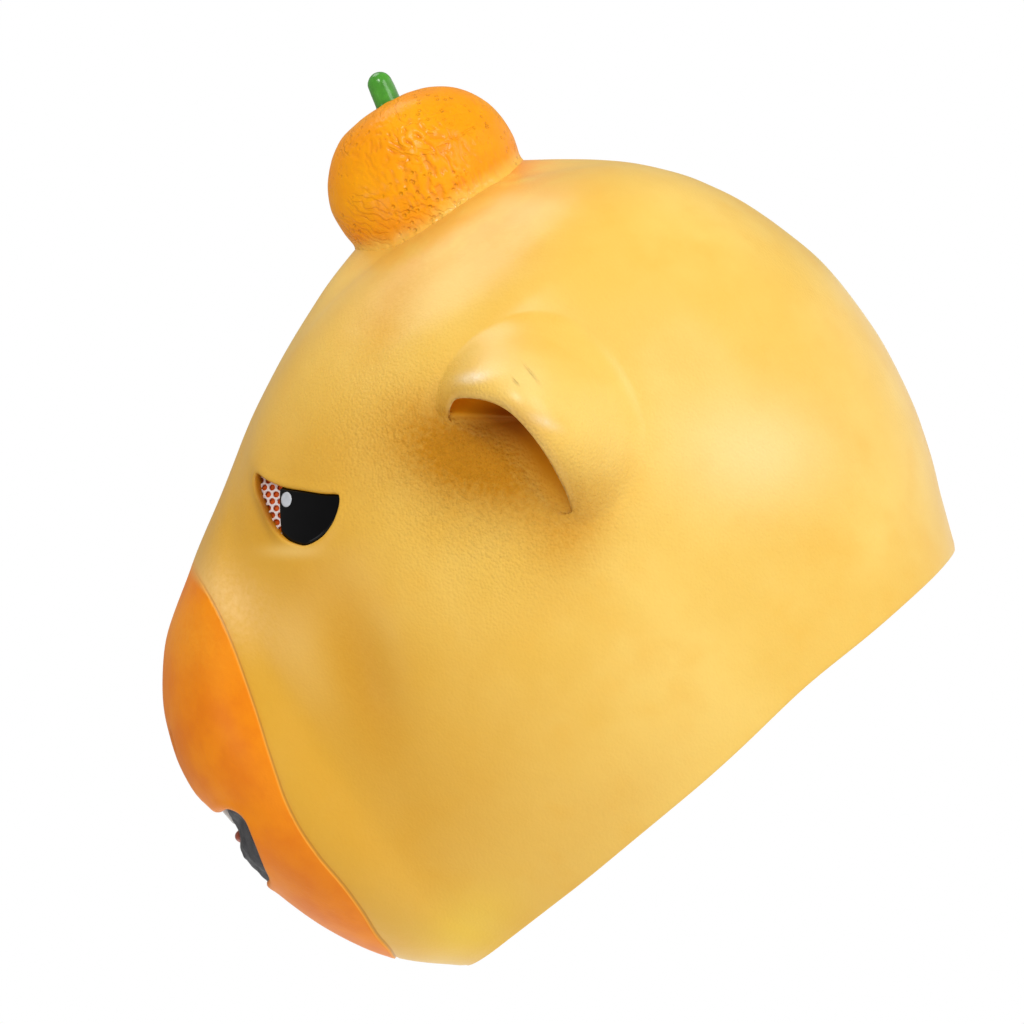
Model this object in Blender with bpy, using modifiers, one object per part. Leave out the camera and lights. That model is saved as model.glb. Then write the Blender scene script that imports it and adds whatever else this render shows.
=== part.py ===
"""Full-head latex capybara mask with a mandarin on its crown, standing on its neck edge.

The face looks along -Y and the animal's left side is at +X. The origin is the middle of the
mask's bounding box at the floor that the neck edge rests on. All lengths are in metres.
"""

import math

import bmesh
import bpy
import numpy as np
from mathutils import Matrix, Vector
from mathutils.bvhtree import BVHTree

# Main sizes of the mask
MASK_DEPTH = 0.363
CROWN_HEIGHT = 0.273
HEAD_WIDTH = 0.252
MUZZLE_WIDTH = 0.156
MUZZLE_CORNER = 0.056
SKIN = 0.0020
GAP = 0.0003
HOLLOW_FOOT = 0.020
MERGE = 0.0001
SHARP_ANGLE = math.radians(35)

# Ears: hoods that open forward and run out smoothly into the head behind
EAR_HEIGHT = 0.084
EAR_DEPTH = 0.056
EAR_STANDOUT = 0.038
EAR_WALL = 0.003
EAR_Y = 0.1267 * MASK_DEPTH
EAR_Z = 0.59 * CROWN_HEIGHT
EAR_ROOT = 0.007
EAR_DOME = 1.15
EAR_ALONG = 20
EAR_ACROSS = 8

# Eyes: openings with a black domed eye behind them and a net in their front corner
EYE_LENGTH = 0.040
EYE_Y = -0.1653 * MASK_DEPTH
EYE_Z = 0.74 * CROWN_HEIGHT
EYE_FACING = (0.72, -0.42, 0.55)
EYE_BORE = 0.016
EYE_MARGIN = 1.14
EYE_PLATE = 0.0015
EYE_DOME_RADIUS = 0.027
EYE_DOME_RISE = 0.010
EYE_RECESS = 0.0008
NET_THICKNESS = 0.0008
NET_PITCH = 0.0034
NET_STRAND = 0.0008
BACKING_THICKNESS = 0.0008
EYE_SIDE = 1
DOME_STEPS = 24

# Mouth: an opening in the muzzle with a dark lining behind it
MOUTH_WIDTH = 0.1146
MOUTH_HEIGHT = 0.0363
MOUTH_Z = 0.38 * CROWN_HEIGHT
MOUTH_MARGIN = 1.12
LINING_THICKNESS = 0.0012
TOOTH_WIDTH = 0.009
TOOTH_HEIGHT = 0.0075
TEETH_BETWEEN = 0.0008
TONGUE_WIDTH = 0.026
TONGUE_HEIGHT = 0.008
TONGUE_Z = MOUTH_Z + 0.0013
TONGUE_RECESS = 0.0008
TONGUE_STEPS = 20

# Mandarin on the crown, leaning back, with its stalk
MANDARIN_RADIUS = 0.0425
MANDARIN_Y = 0.2052 * MASK_DEPTH
MANDARIN_Z = CROWN_HEIGHT + 0.0062
MANDARIN_LEAN = math.radians(17)
STALK_RADIUS = 0.0053
STALK_LENGTH = 0.0150

# Horizontal sections of the head, from the neck edge to the crown
# height: share of CROWN_HEIGHT
# front, back: shares of MASK_DEPTH from its middle
# width: share of HEAD_WIDTH
# muzzle: share of MUZZLE_WIDTH
# setback: how far the round skull starts behind the front, share of MASK_DEPTH
HEAD_SECTIONS = (
    # height, front, back, width, muzzle, setback
    (0.000, -0.379, 0.398, 0.86, 0.82, 0.060),
    (0.081, -0.434, 0.426, 0.90, 0.88, 0.085),
    (0.161, -0.467, 0.455, 0.93, 0.93, 0.115),
    (0.242, -0.487, 0.477, 0.96, 0.97, 0.135),
    (0.322, -0.498, 0.492, 0.98, 0.99, 0.150),
    (0.403, -0.500, 0.499, 1.00, 1.00, 0.160),
    (0.484, -0.495, 0.500, 1.00, 1.00, 0.165),
    (0.564, -0.482, 0.491, 0.99, 0.98, 0.162),
    (0.645, -0.451, 0.475, 0.96, 0.94, 0.145),
    (0.709, -0.408, 0.454, 0.92, 0.86, 0.118),
    (0.774, -0.324, 0.424, 0.86, 0.74, 0.075),
    (0.838, -0.229, 0.384, 0.77, 0.58, 0.030),
    (0.903, -0.135, 0.328, 0.63, 0.40, 0.005),
    (0.967, -0.004, 0.262, 0.40, 0.20, 0.000),
    (0.991, 0.068, 0.214, 0.22, 0.08, 0.000),
    (1.000, 0.141, 0.141, 0.00, 0.00, 0.000),
)
WIDEST_AT = 0.58
SKULL_ROUNDNESS = 2.1
BACK_ROUNDNESS = 2.3
MUZZLE_ROUNDNESS = 2.3
BLEND_SHARPNESS = 3.5
HEAD_RINGS = 27
HEAD_SIDE_STEPS = 27
SECTION_SAMPLES = 400


# Ear, from the front top end of its rim round to the lower end
# rim_y, base_y: shares of EAR_DEPTH from EAR_Y; rim_z, base_z: shares of EAR_HEIGHT from EAR_Z
# standout: share of EAR_STANDOUT by which the rim stands out from the head
EAR_SECTIONS = (
    # rim_y, rim_z, standout, base_y, base_z
    (-0.54, 0.350, -0.40, -0.52, 0.41),
    (-0.50, 0.386, 0.16, -0.45, 0.44),
    (-0.38, 0.418, 0.47, -0.31, 0.475),
    (-0.29, 0.367, 0.74, -0.03, 0.50),
    (-0.25, 0.249, 0.92, 0.25, 0.42),
    (-0.235, 0.110, 1.00, 0.44, 0.256),
    (-0.22, -0.027, 1.00, 0.495, -0.006),
    (-0.23, -0.168, 0.89, 0.42, -0.235),
    (-0.26, -0.298, 0.63, 0.24, -0.395),
    (-0.31, -0.430, 0.14, 0.03, -0.474),
    (-0.32, -0.462, -0.40, -0.12, -0.500),
)

# Eye opening, from its top corner down the lid to the back and round below
# y, z: shares of EYE_LENGTH from EYE_Y and EYE_Z
EYE_OUTLINE = (
    # y, z
    (-0.135, 0.485),
    (-0.090, 0.358),
    (-0.003, 0.195),
    (0.123, 0.048),
    (0.268, -0.120),
    (0.393, -0.240),
    (0.380, -0.300),
    (0.290, -0.375),
    (0.145, -0.445),
    (-0.033, -0.473),
    (-0.213, -0.430),
    (-0.305, -0.323),
    (-0.350, -0.203),
    (-0.348, 0.005),
    (-0.295, 0.195),
    (-0.238, 0.355),
)
# Ends of the line where the net meets the black eye, shares as above
NET_EDGE = ((-0.003, 0.195), (-0.338, -0.225))

# Left half of the mouth opening from the middle of its upper edge to the middle of its lower one
# x: share of MOUTH_WIDTH; z: share of MOUTH_HEIGHT from MOUTH_Z
MOUTH_OUTLINE = (
    # x, z
    (0.000, 0.500),
    (0.260, 0.500),
    (0.410, 0.482),
    (0.475, 0.394),
    (0.500, 0.256),
    (0.485, 0.077),
    (0.450, -0.116),
    (0.393, -0.309),
    (0.331, -0.460),
    (0.218, -0.498),
    (0.000, -0.500),
)

# Left upper incisor seen from the front, its upper inner corner first
# x: share of TOOTH_WIDTH; z: share of TOOTH_HEIGHT, down from the upper lip
TOOTH_OUTLINE = (
    # x, z
    (0.00, 0.00),
    (0.00, 0.85),
    (0.15, 1.00),
    (0.80, 1.00),
    (1.00, 0.80),
    (1.00, 0.00),
)

# Mandarin's profile from the top of its axis down to the bottom
# radius, height: shares of MANDARIN_RADIUS from its middle
MANDARIN_PROFILE = (
    # radius, height
    (0.00, 0.770),
    (0.10, 0.780),
    (0.28, 0.775),
    (0.46, 0.730),
    (0.66, 0.630),
    (0.83, 0.460),
    (0.95, 0.240),
    (1.00, 0.000),
    (0.99, -0.220),
    (0.94, -0.420),
    (0.84, -0.600),
    (0.70, -0.740),
    (0.45, -0.840),
    (0.00, -0.880),
)
MANDARIN_STEPS = 28
STALK_STEPS = 16
STALK_TIP_STEPS = 4


def spline_through(keys, values, wanted):
    """Smooth curve through rows of values at keys, read at wanted."""
    slopes = np.gradient(values, keys, axis=0)
    at = np.clip(np.searchsorted(keys, wanted, side="right") - 1, 0, len(keys) - 2)
    span = (keys[at + 1] - keys[at])[:, None]
    t = (wanted - keys[at])[:, None] / span
    start_weight = 2 * t**3 - 3 * t**2 + 1
    start_slope = t**3 - 2 * t**2 + t
    end_slope = t**3 - t**2
    return (
        start_weight * values[at]
        + start_slope * span * slopes[at]
        + (1 - start_weight) * values[at + 1]
        + end_slope * span * slopes[at + 1]
    )


def head_rows(count):
    """The head's sections in metres, count of them, evenly spaced along the profile."""
    table = np.array(HEAD_SECTIONS)
    scale = np.array(
        [CROWN_HEIGHT, MASK_DEPTH, MASK_DEPTH, HEAD_WIDTH / 2, MUZZLE_WIDTH / 2, MASK_DEPTH]
    )
    rows = table * scale
    # Past the crown the front and back change places, so the crown is level
    beyond = rows[-2, [0, 2, 1, 3, 4, 5]] * np.array([1, 1, 1, -1, -1, 1])
    rows = np.vstack([rows, beyond])
    steps = np.linalg.norm(np.diff(rows[:, :4], axis=0), axis=1)
    keys = np.concatenate([[0], np.cumsum(steps)])
    wanted = np.linspace(0, keys[-2], count)
    return spline_through(keys, rows, wanted)


def half_section(row, steps):
    """Points (x, y) of one section's left half, from the front round to the back."""
    _, front, back, half_width, muzzle, setback = row
    chord = back - front
    widest = front + WIDEST_AT * chord
    y = (front + back) / 2 - chord / 2 * np.cos(np.linspace(0, math.pi, SECTION_SAMPLES))
    skull_front = front + max(setback, 0)
    forward = np.clip((widest - y) / (widest - skull_front), 0, 1)
    backward = np.clip((y - widest) / (back - widest), 0, 1)
    round_front = (1 - forward**SKULL_ROUNDNESS) ** (1 / SKULL_ROUNDNESS)
    round_back = (1 - backward**BACK_ROUNDNESS) ** (1 / BACK_ROUNDNESS)
    p = BLEND_SHARPNESS
    muzzle = max(muzzle, 0)
    skull_width = max(half_width**p - muzzle**p, 0) ** (1 / p)
    skull = skull_width * np.where(y < widest, round_front, round_back)
    corner = MUZZLE_CORNER * 2 * muzzle / MUZZLE_WIDTH
    nose = np.clip((front + corner - y) / corner, 0, 1)
    snout = muzzle * (1 - nose**MUZZLE_ROUNDNESS) ** (1 / MUZZLE_ROUNDNESS)
    snout *= 1 - backward**2
    x = (skull**p + snout**p) ** (1 / p)
    x[0] = x[-1] = 0
    walked = np.concatenate([[0], np.cumsum(np.hypot(np.diff(x), np.diff(y)))])
    at = np.linspace(0, walked[-1], steps + 1)
    return np.column_stack([np.interp(at, walked, x), np.interp(at, walked, y)])


def head_points(rings, side_steps):
    """Array of points, one closed ring of 2 * side_steps points for each section but the crown."""
    grid = []
    for row in head_rows(rings + 1)[:-1]:
        half = half_section(row, side_steps)
        ring = np.vstack([half, half[-2:0:-1] * [-1, 1]])
        grid.append(np.column_stack([ring, np.full(len(ring), row[0])]))
    return np.array(grid)


def new_object(name, mesh, paint=None):
    """An object for a mesh: a piece of the mask if it has a paint, else a cutter."""
    obj = bpy.data.objects.new(name, mesh)
    if paint:
        MASK.objects.link(obj)
        mesh.materials.append(paint)
    else:
        CUTTERS.objects.link(obj)
        obj.hide_render = True
        obj.display_type = "WIRE"
    return obj


def object_from(bm, name, paint=None):
    """Finishes a bmesh into a smooth-shaded object."""
    mesh = bpy.data.meshes.new(name)
    bm.to_mesh(mesh)
    bm.free()
    mesh.shade_smooth()
    mesh.set_sharp_from_angle(angle=SHARP_ANGLE)
    return new_object(name, mesh, paint)


def head_object(name, inset=0.0, foot=0.0, paint=None):
    """The head's outside as a closed solid, taken in by inset and reaching foot below the neck."""
    bm = bmesh.new()
    rings = [
        [bm.verts.new(point) for point in ring]
        for ring in head_points(HEAD_RINGS, HEAD_SIDE_STEPS)
    ]
    for lower, upper in zip(rings, rings[1:]):
        for i in range(len(lower)):
            j = (i + 1) % len(lower)
            bm.faces.new((lower[i], lower[j], upper[j], upper[i]))
    top = rings[-1]
    crown = bm.verts.new((0, HEAD_SECTIONS[-1][1] * MASK_DEPTH, CROWN_HEIGHT))
    for i in range(len(top)):
        bm.faces.new((top[i], top[(i + 1) % len(top)], crown))
    bm.normal_update()
    outward = [v.normal.copy() for v in bm.verts]
    for vertex, normal in zip(bm.verts, outward):
        vertex.co -= normal * inset
    neck = rings[0]
    for vertex in neck:
        vertex.co.z = 0
    if foot:
        lower = [bm.verts.new(v.co - Vector((0, 0, foot))) for v in neck]
        for i in range(len(neck)):
            j = (i + 1) % len(neck)
            bm.faces.new((lower[i], lower[j], neck[j], neck[i]))
        neck = lower
    bm.faces.new(neck)
    bmesh.ops.recalc_face_normals(bm, faces=bm.faces)
    return object_from(bm, name, paint)


def head_inset(inset):
    """The head's solid taken in by inset, made once for each inset."""
    name = "head_in_%d_um" % round(inset * 1e6)
    return bpy.data.objects.get(name) or head_object(name, inset)


def on_head(y, z):
    """Place on the outside of the head's left half at the given y and z."""
    return HEAD_TREE.ray_cast(Vector((HEAD_WIDTH, y, z)), Vector((-1, 0, 0)))[0]


def boolean(obj, operation, tool):
    """Adds an exact Boolean with tool to obj."""
    step = obj.modifiers.new(tool.name, "BOOLEAN")
    step.operation = operation
    step.solver = "EXACT"
    step.object = tool


def mirror(obj):
    """Adds the same shape on the other side of the head."""
    step = obj.modifiers.new("other_side", "MIRROR")
    step.use_mirror_merge = False


def layer(obj, near, far):
    """Keeps of obj what lies between near and far below the outside of the head."""
    boolean(obj, "INTERSECT", head_inset(near))
    boolean(obj, "DIFFERENCE", head_inset(far))


def evaluated(obj):
    """The object with its modifiers worked out."""
    return obj.evaluated_get(bpy.context.evaluated_depsgraph_get())


def plate(name, outline, frame, reach, paint=None):
    """Flat outline in the frame's XY plane, swept by reach both ways along the frame's Z."""
    curve = bpy.data.curves.new(name, "CURVE")
    curve.dimensions = "2D"
    curve.fill_mode = "BOTH"
    curve.extrude = reach
    spline = curve.splines.new("POLY")
    spline.points.add(len(outline) - 1)
    for point, place in zip(spline.points, outline):
        point.co = (place[0], place[1], 0, 1)
    spline.use_cyclic_u = True
    drawn = bpy.data.objects.new(name + "_outline", curve)
    CUTTERS.objects.link(drawn)
    bm = bmesh.new()
    bm.from_mesh(bpy.data.meshes.new_from_object(evaluated(drawn)))
    bpy.data.objects.remove(drawn)
    bmesh.ops.remove_doubles(bm, verts=bm.verts, dist=MERGE)
    bmesh.ops.transform(bm, matrix=frame, verts=bm.verts)
    return object_from(bm, name, paint)


def other_side(obj, name, paint):
    """The same piece on the other side of the head, as its own object."""
    bm = bmesh.new()
    bm.from_mesh(bpy.data.meshes.new_from_object(evaluated(obj)))
    for vertex in bm.verts:
        vertex.co.x = -vertex.co.x
    bmesh.ops.reverse_faces(bm, faces=bm.faces)
    return object_from(bm, name, paint)


def clipped(points, start, end, side, clearance):
    """The part of a flat outline on one side of the line from start to end."""
    along = (end - start).normalized()
    across = Vector((-along.y, along.x)) * side
    heights = [(p - start).dot(across) - clearance for p in points]
    kept = []
    for i, point in enumerate(points):
        j = (i + 1) % len(points)
        if heights[i] >= 0:
            kept.append(point)
        if (heights[i] >= 0) != (heights[j] >= 0):
            kept.append(point.lerp(points[j], heights[i] / (heights[i] - heights[j])))
    return kept


def inside(point, outline, margin):
    """Whether a point lies in a flat convex outline by at least margin."""
    middle = sum(outline, Vector((0, 0))) / len(outline)
    for i, corner in enumerate(outline):
        along = (outline[(i + 1) % len(outline)] - corner).normalized()
        across = Vector((-along.y, along.x))
        if across.dot(middle - corner) < 0:
            across = -across
        if across.dot(point - corner) < margin:
            return False
    return True


def turned(name, profile, steps, paint):
    """Piece turned from a profile of (radius, height) round the mandarin's leaning axis."""
    mesh = bpy.data.meshes.new(name)
    edges = [(i, i + 1) for i in range(len(profile) - 1)]
    mesh.from_pydata([(radius, 0, height) for radius, height in profile], edges, [])
    obj = new_object(name, mesh, paint)
    turn = obj.modifiers.new("turn", "SCREW")
    turn.steps = steps
    turn.render_steps = steps
    turn.use_merge_vertices = True
    turn.merge_threshold = MERGE
    turn.use_smooth_shade = True
    obj.location = (0, MANDARIN_Y, MANDARIN_Z)
    obj.rotation_euler = (-MANDARIN_LEAN, 0, 0)
    return obj


def ears():
    """Both ears: a sheet from the rim back to its root below the head's skin, made thick."""
    table = np.array(EAR_SECTIONS)
    wanted = np.linspace(0, len(table) - 1, EAR_ALONG + 1)
    bm = bmesh.new()
    grid = []
    for rim_y, rim_z, standout, base_y, base_z in spline_through(
        np.arange(len(table)), table, wanted
    ):
        line = []
        for step in range(EAR_ACROSS + 1):
            share = math.sin(math.pi / 2 * step / EAR_ACROSS)
            y = EAR_Y + EAR_DEPTH * (rim_y + (base_y - rim_y) * share)
            z = EAR_Z + EAR_HEIGHT * (rim_z + (base_z - rim_z) * share)
            dome = (1 - share**2) ** EAR_DOME
            rise = (EAR_STANDOUT * standout + EAR_ROOT) * dome - EAR_ROOT
            line.append(bm.verts.new(on_head(y, z) + Vector((rise, 0, 0))))
        grid.append(line)
    for lower, upper in zip(grid, grid[1:]):
        for i in range(EAR_ACROSS):
            bm.faces.new((lower[i], lower[i + 1], upper[i + 1], upper[i]))
    obj = object_from(bm, "ears")
    thick = obj.modifiers.new("thickness", "SOLIDIFY")
    thick.thickness = EAR_WALL
    thick.offset = 0
    mirror(obj)
    return obj


def eye_frame():
    """Frame of the left eye: X runs forward along the head, Y up along it and Z out of it."""
    out = Vector(EYE_FACING).normalized()
    ahead = Vector((0, -1, 0))
    ahead = (ahead - out * ahead.dot(out)).normalized()
    up = out.cross(ahead)
    axes = Matrix((ahead, up, out)).transposed().to_4x4()
    return Matrix.Translation(on_head(EYE_Y, EYE_Z)) @ axes


def eye_place(frame, y, z):
    """Place in the eye's flat frame of a point of the head, given in shares of EYE_LENGTH."""
    point = on_head(EYE_Y + y * EYE_LENGTH, EYE_Z + z * EYE_LENGTH)
    return (frame.inverted() @ point).xy


def net_holes(outline, frame):
    """The net's six-sided holes, each wholly inside the outline."""
    hole = (NET_PITCH - NET_STRAND) / 2
    corner = hole / math.cos(math.pi / 6)
    row_step = NET_PITCH * math.sin(math.pi / 3)
    reach = math.ceil(EYE_LENGTH / NET_PITCH)
    bm = bmesh.new()
    for row in range(-reach, reach + 1):
        for column in range(-reach, reach + 1):
            middle = Vector(((column + row % 2 / 2) * NET_PITCH, row * row_step))
            if not inside(middle, outline, hole + NET_STRAND):
                continue
            place = Matrix.Translation((*middle, 0)) @ Matrix.Rotation(math.pi / 6, 4, "Z")
            bmesh.ops.create_cone(
                bm, cap_ends=True, segments=6, radius1=corner, radius2=corner,
                depth=2 * EYE_BORE, matrix=place,
            )
    bmesh.ops.transform(bm, matrix=frame, verts=bm.verts)
    return object_from(bm, "net_holes")


def eye_dome(frame):
    """The rounded front of the left eye."""
    bm = bmesh.new()
    bmesh.ops.create_uvsphere(bm, u_segments=DOME_STEPS, v_segments=DOME_STEPS // 2, radius=1)
    sizes = Matrix.Diagonal((EYE_DOME_RADIUS, EYE_DOME_RADIUS, EYE_DOME_RISE, 1))
    sunk = Matrix.Translation((0, 0, -EYE_DOME_RISE - EYE_RECESS))
    bmesh.ops.transform(bm, matrix=frame @ sunk @ sizes, verts=bm.verts)
    return object_from(bm, "eye_dome")


def painted(name, colour, roughness):
    """A Principled material with one colour."""
    made = bpy.data.materials.new(name)
    made.use_nodes = True
    shader = made.node_tree.nodes["Principled BSDF"]
    shader.inputs["Base Color"].default_value = (*colour, 1)
    shader.inputs["Roughness"].default_value = roughness
    shader.inputs["Metallic"].default_value = 0
    return made


for old in list(bpy.data.objects):
    bpy.data.objects.remove(old)
MASK = bpy.data.collections.new("capybara_mask")
CUTTERS = bpy.data.collections.new("cutters")
bpy.context.scene.collection.children.link(MASK)
bpy.context.scene.collection.children.link(CUTTERS)

SKIN_YELLOW = painted("skin_yellow", (0.84, 0.50, 0.10), 0.45)
MANDARIN_ORANGE = painted("mandarin_orange", (0.95, 0.30, 0.02), 0.45)
STALK_GREEN = painted("stalk_green", (0.04, 0.30, 0.05), 0.25)
EYE_BLACK = painted("eye_black", (0.01, 0.01, 0.01), 0.08)
NET_WHITE = painted("net_white", (0.85, 0.70, 0.66), 0.6)
BACKING_ORANGE = painted("backing_orange", (0.60, 0.08, 0.01), 0.7)
LINING_DARK = painted("lining_dark", (0.05, 0.05, 0.055), 0.7)
TOOTH_WHITE = painted("tooth_white", (0.70, 0.70, 0.70), 0.3)
TONGUE_RED = painted("tongue_red", (0.35, 0.06, 0.03), 0.6)

# Head skin: one moulding with both ears, the eye openings, the mouth and the open neck
head = head_object("head_skin", paint=SKIN_YELLOW)
HEAD_TREE = BVHTree.FromObject(head, bpy.context.evaluated_depsgraph_get())
boolean(head, "UNION", ears())
boolean(head, "DIFFERENCE", head_object("hollow", SKIN, HOLLOW_FOOT))

EYE = eye_frame()
eye_outline = [eye_place(EYE, y, z) for y, z in EYE_OUTLINE]
eye_holes = plate("eye_holes", eye_outline, EYE, EYE_BORE)
mirror(eye_holes)
boolean(head, "DIFFERENCE", eye_holes)

# The mouth's frame: X runs across the face and Y up it
MOUTH = Matrix.Translation((0, -MASK_DEPTH / 2, MOUTH_Z)) @ Matrix.Rotation(math.pi / 2, 4, "X")
half = [(x * MOUTH_WIDTH, z * MOUTH_HEIGHT) for x, z in MOUTH_OUTLINE]
mouth_outline = half + [(-x, z) for x, z in half[-2:0:-1]]
boolean(head, "DIFFERENCE", plate("mouth_hole", mouth_outline, MOUTH, MUZZLE_CORNER))

# Behind each eye opening: the black eye, and the net over its backing in the front corner
net_edge = [eye_place(EYE, y, z) for y, z in NET_EDGE]
grown = [place * EYE_MARGIN for place in eye_outline]
shrunk = [place / EYE_MARGIN for place in eye_outline]
behind = SKIN + GAP
eye = plate("eye_left", clipped(grown, *net_edge, EYE_SIDE, GAP / 2), EYE, EYE_BORE, EYE_BLACK)
layer(eye, behind, behind + EYE_PLATE)
dome = eye_dome(EYE)
window = plate("eye_window", clipped(shrunk, *net_edge, EYE_SIDE, GAP), EYE, EYE_BORE)
boolean(dome, "INTERSECT", window)
boolean(dome, "DIFFERENCE", head_inset(behind + EYE_PLATE))
boolean(eye, "UNION", dome)
other_side(eye, "eye_right", EYE_BLACK)

net_outline = clipped(grown, *net_edge, -EYE_SIDE, GAP / 2)
net = plate("eye_net_left", net_outline, EYE, EYE_BORE, NET_WHITE)
layer(net, behind, behind + NET_THICKNESS)
boolean(net, "DIFFERENCE", net_holes(net_outline, EYE))
other_side(net, "eye_net_right", NET_WHITE)
backing = plate("eye_backing_left", net_outline, EYE, EYE_BORE, BACKING_ORANGE)
behind_net = behind + NET_THICKNESS + GAP
layer(backing, behind_net, behind_net + BACKING_THICKNESS)
other_side(backing, "eye_backing_right", BACKING_ORANGE)

# In the mouth: the dark lining, two upper incisors and the tongue
lining_outline = [(x * MOUTH_MARGIN, z * MOUTH_MARGIN) for x, z in mouth_outline]
lining = plate("mouth_lining", lining_outline, MOUTH, MUZZLE_CORNER, LINING_DARK)
layer(lining, behind, behind + LINING_THICKNESS)
tooth_top = MOUTH_HEIGHT / 2 - GAP
tooth_outline = [
    (TEETH_BETWEEN / 2 + x * TOOTH_WIDTH, tooth_top - z * TOOTH_HEIGHT) for x, z in TOOTH_OUTLINE
]
tooth = plate("tooth_left", tooth_outline, MOUTH, MUZZLE_CORNER, TOOTH_WHITE)
layer(tooth, GAP, SKIN)
other_side(tooth, "tooth_right", TOOTH_WHITE)
turns = [2 * math.pi * step / TONGUE_STEPS for step in range(TONGUE_STEPS)]
tongue_outline = [
    (math.cos(turn) * TONGUE_WIDTH / 2, math.sin(turn) * TONGUE_HEIGHT / 2 + TONGUE_Z - MOUTH_Z)
    for turn in turns
]
tongue = plate("tongue", tongue_outline, MOUTH, MUZZLE_CORNER, TONGUE_RED)
layer(tongue, TONGUE_RECESS, SKIN)

# The mandarin sits on the crown, and its stalk stands on it
profile = [(radius * MANDARIN_RADIUS, height * MANDARIN_RADIUS) for radius, height in MANDARIN_PROFILE]
mandarin = turned("mandarin", profile, MANDARIN_STEPS, MANDARIN_ORANGE)
boolean(mandarin, "DIFFERENCE", head_inset(-GAP))
stalk_foot = max(height for radius, height in profile) + GAP
stalk_bend = stalk_foot + STALK_LENGTH - STALK_RADIUS
tip = [math.pi / 2 * (1 - step / STALK_TIP_STEPS) for step in range(STALK_TIP_STEPS + 1)]
stalk_profile = [
    (STALK_RADIUS * math.cos(turn), stalk_bend + STALK_RADIUS * math.sin(turn)) for turn in tip
]
stalk_profile += [(STALK_RADIUS, stalk_foot), (0, stalk_foot)]
turned("mandarin_stalk", stalk_profile, STALK_STEPS, STALK_GREEN)
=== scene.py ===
"""Looks of the capybara head mask: its moulded latex skin, mandarin, eyes, mouth and light.

The face looks along -Y and +Z is up. Lengths are in metres.
"""

import math

import bmesh
import bpy
import numpy as np
from mathutils import Matrix, Vector, geometry, noise
from mathutils.bvhtree import BVHTree


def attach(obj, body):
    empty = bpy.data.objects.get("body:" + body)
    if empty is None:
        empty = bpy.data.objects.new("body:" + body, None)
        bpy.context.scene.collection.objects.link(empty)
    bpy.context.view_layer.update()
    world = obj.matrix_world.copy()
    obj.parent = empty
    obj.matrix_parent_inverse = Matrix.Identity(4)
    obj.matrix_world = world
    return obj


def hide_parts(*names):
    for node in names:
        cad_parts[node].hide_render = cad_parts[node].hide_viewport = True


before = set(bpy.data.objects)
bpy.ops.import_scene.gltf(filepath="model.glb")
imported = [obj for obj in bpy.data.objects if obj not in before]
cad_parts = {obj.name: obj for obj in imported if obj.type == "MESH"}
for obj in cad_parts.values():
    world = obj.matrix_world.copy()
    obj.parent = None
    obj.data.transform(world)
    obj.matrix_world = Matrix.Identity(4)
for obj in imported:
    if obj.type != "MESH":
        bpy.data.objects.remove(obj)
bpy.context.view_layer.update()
# Mirrors the left side of the head to its right side
FLIP = Matrix.Diagonal((-1, 1, 1, 1))

# Form of the head, the same as in the part's source
MASK_DEPTH = 0.363
CROWN_HEIGHT = 0.273
HEAD_WIDTH = 0.252
MUZZLE_WIDTH = 0.156
MUZZLE_CORNER = 0.056
SKIN = 0.0020
# height, front, back, width, muzzle, setback, as shares of the sizes above
HEAD_SECTIONS = (
    (0.000, -0.379, 0.398, 0.86, 0.82, 0.060),
    (0.081, -0.434, 0.426, 0.90, 0.88, 0.085),
    (0.161, -0.467, 0.455, 0.93, 0.93, 0.115),
    (0.242, -0.487, 0.477, 0.96, 0.97, 0.135),
    (0.322, -0.498, 0.492, 0.98, 0.99, 0.150),
    (0.403, -0.500, 0.499, 1.00, 1.00, 0.160),
    (0.484, -0.495, 0.500, 1.00, 1.00, 0.165),
    (0.564, -0.482, 0.491, 0.99, 0.98, 0.162),
    (0.645, -0.451, 0.475, 0.96, 0.94, 0.145),
    (0.709, -0.408, 0.454, 0.92, 0.86, 0.118),
    (0.774, -0.324, 0.424, 0.86, 0.74, 0.075),
    (0.838, -0.229, 0.384, 0.77, 0.58, 0.030),
    (0.903, -0.135, 0.328, 0.63, 0.40, 0.005),
    (0.967, -0.004, 0.262, 0.40, 0.20, 0.000),
    (0.991, 0.068, 0.214, 0.22, 0.08, 0.000),
    (1.000, 0.141, 0.141, 0.00, 0.00, 0.000),
)
WIDEST_AT = 0.58
SKULL_ROUNDNESS = 2.1
BACK_ROUNDNESS = 2.3
MUZZLE_ROUNDNESS = 2.3
BLEND_SHARPNESS = 3.5
SECTION_SAMPLES = 600
OUTER_RINGS = 140
INNER_RINGS = 50
SIDE_STEPS = 140
# How far round an ear, an eye or the mouth the skin is opened to fit it in, outside and inside
OUTER_MARGIN = 0.0012
INNER_MARGIN = 0.0030
# The cut edge of the neck: height of its sides, then share of its thickness and height underneath
NECK_SIDES = 0.0007
NECK_UNDER = ((0.2, 0.0002), (0.5, 0.0), (0.8, 0.0002))
# Arch in the rear half of the neck edge: y, reach in y and height, and the small waves beside it
NECK_ARCH = (0.056, 0.036, 0.0026)
NECK_WAVES = 0.0004

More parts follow.
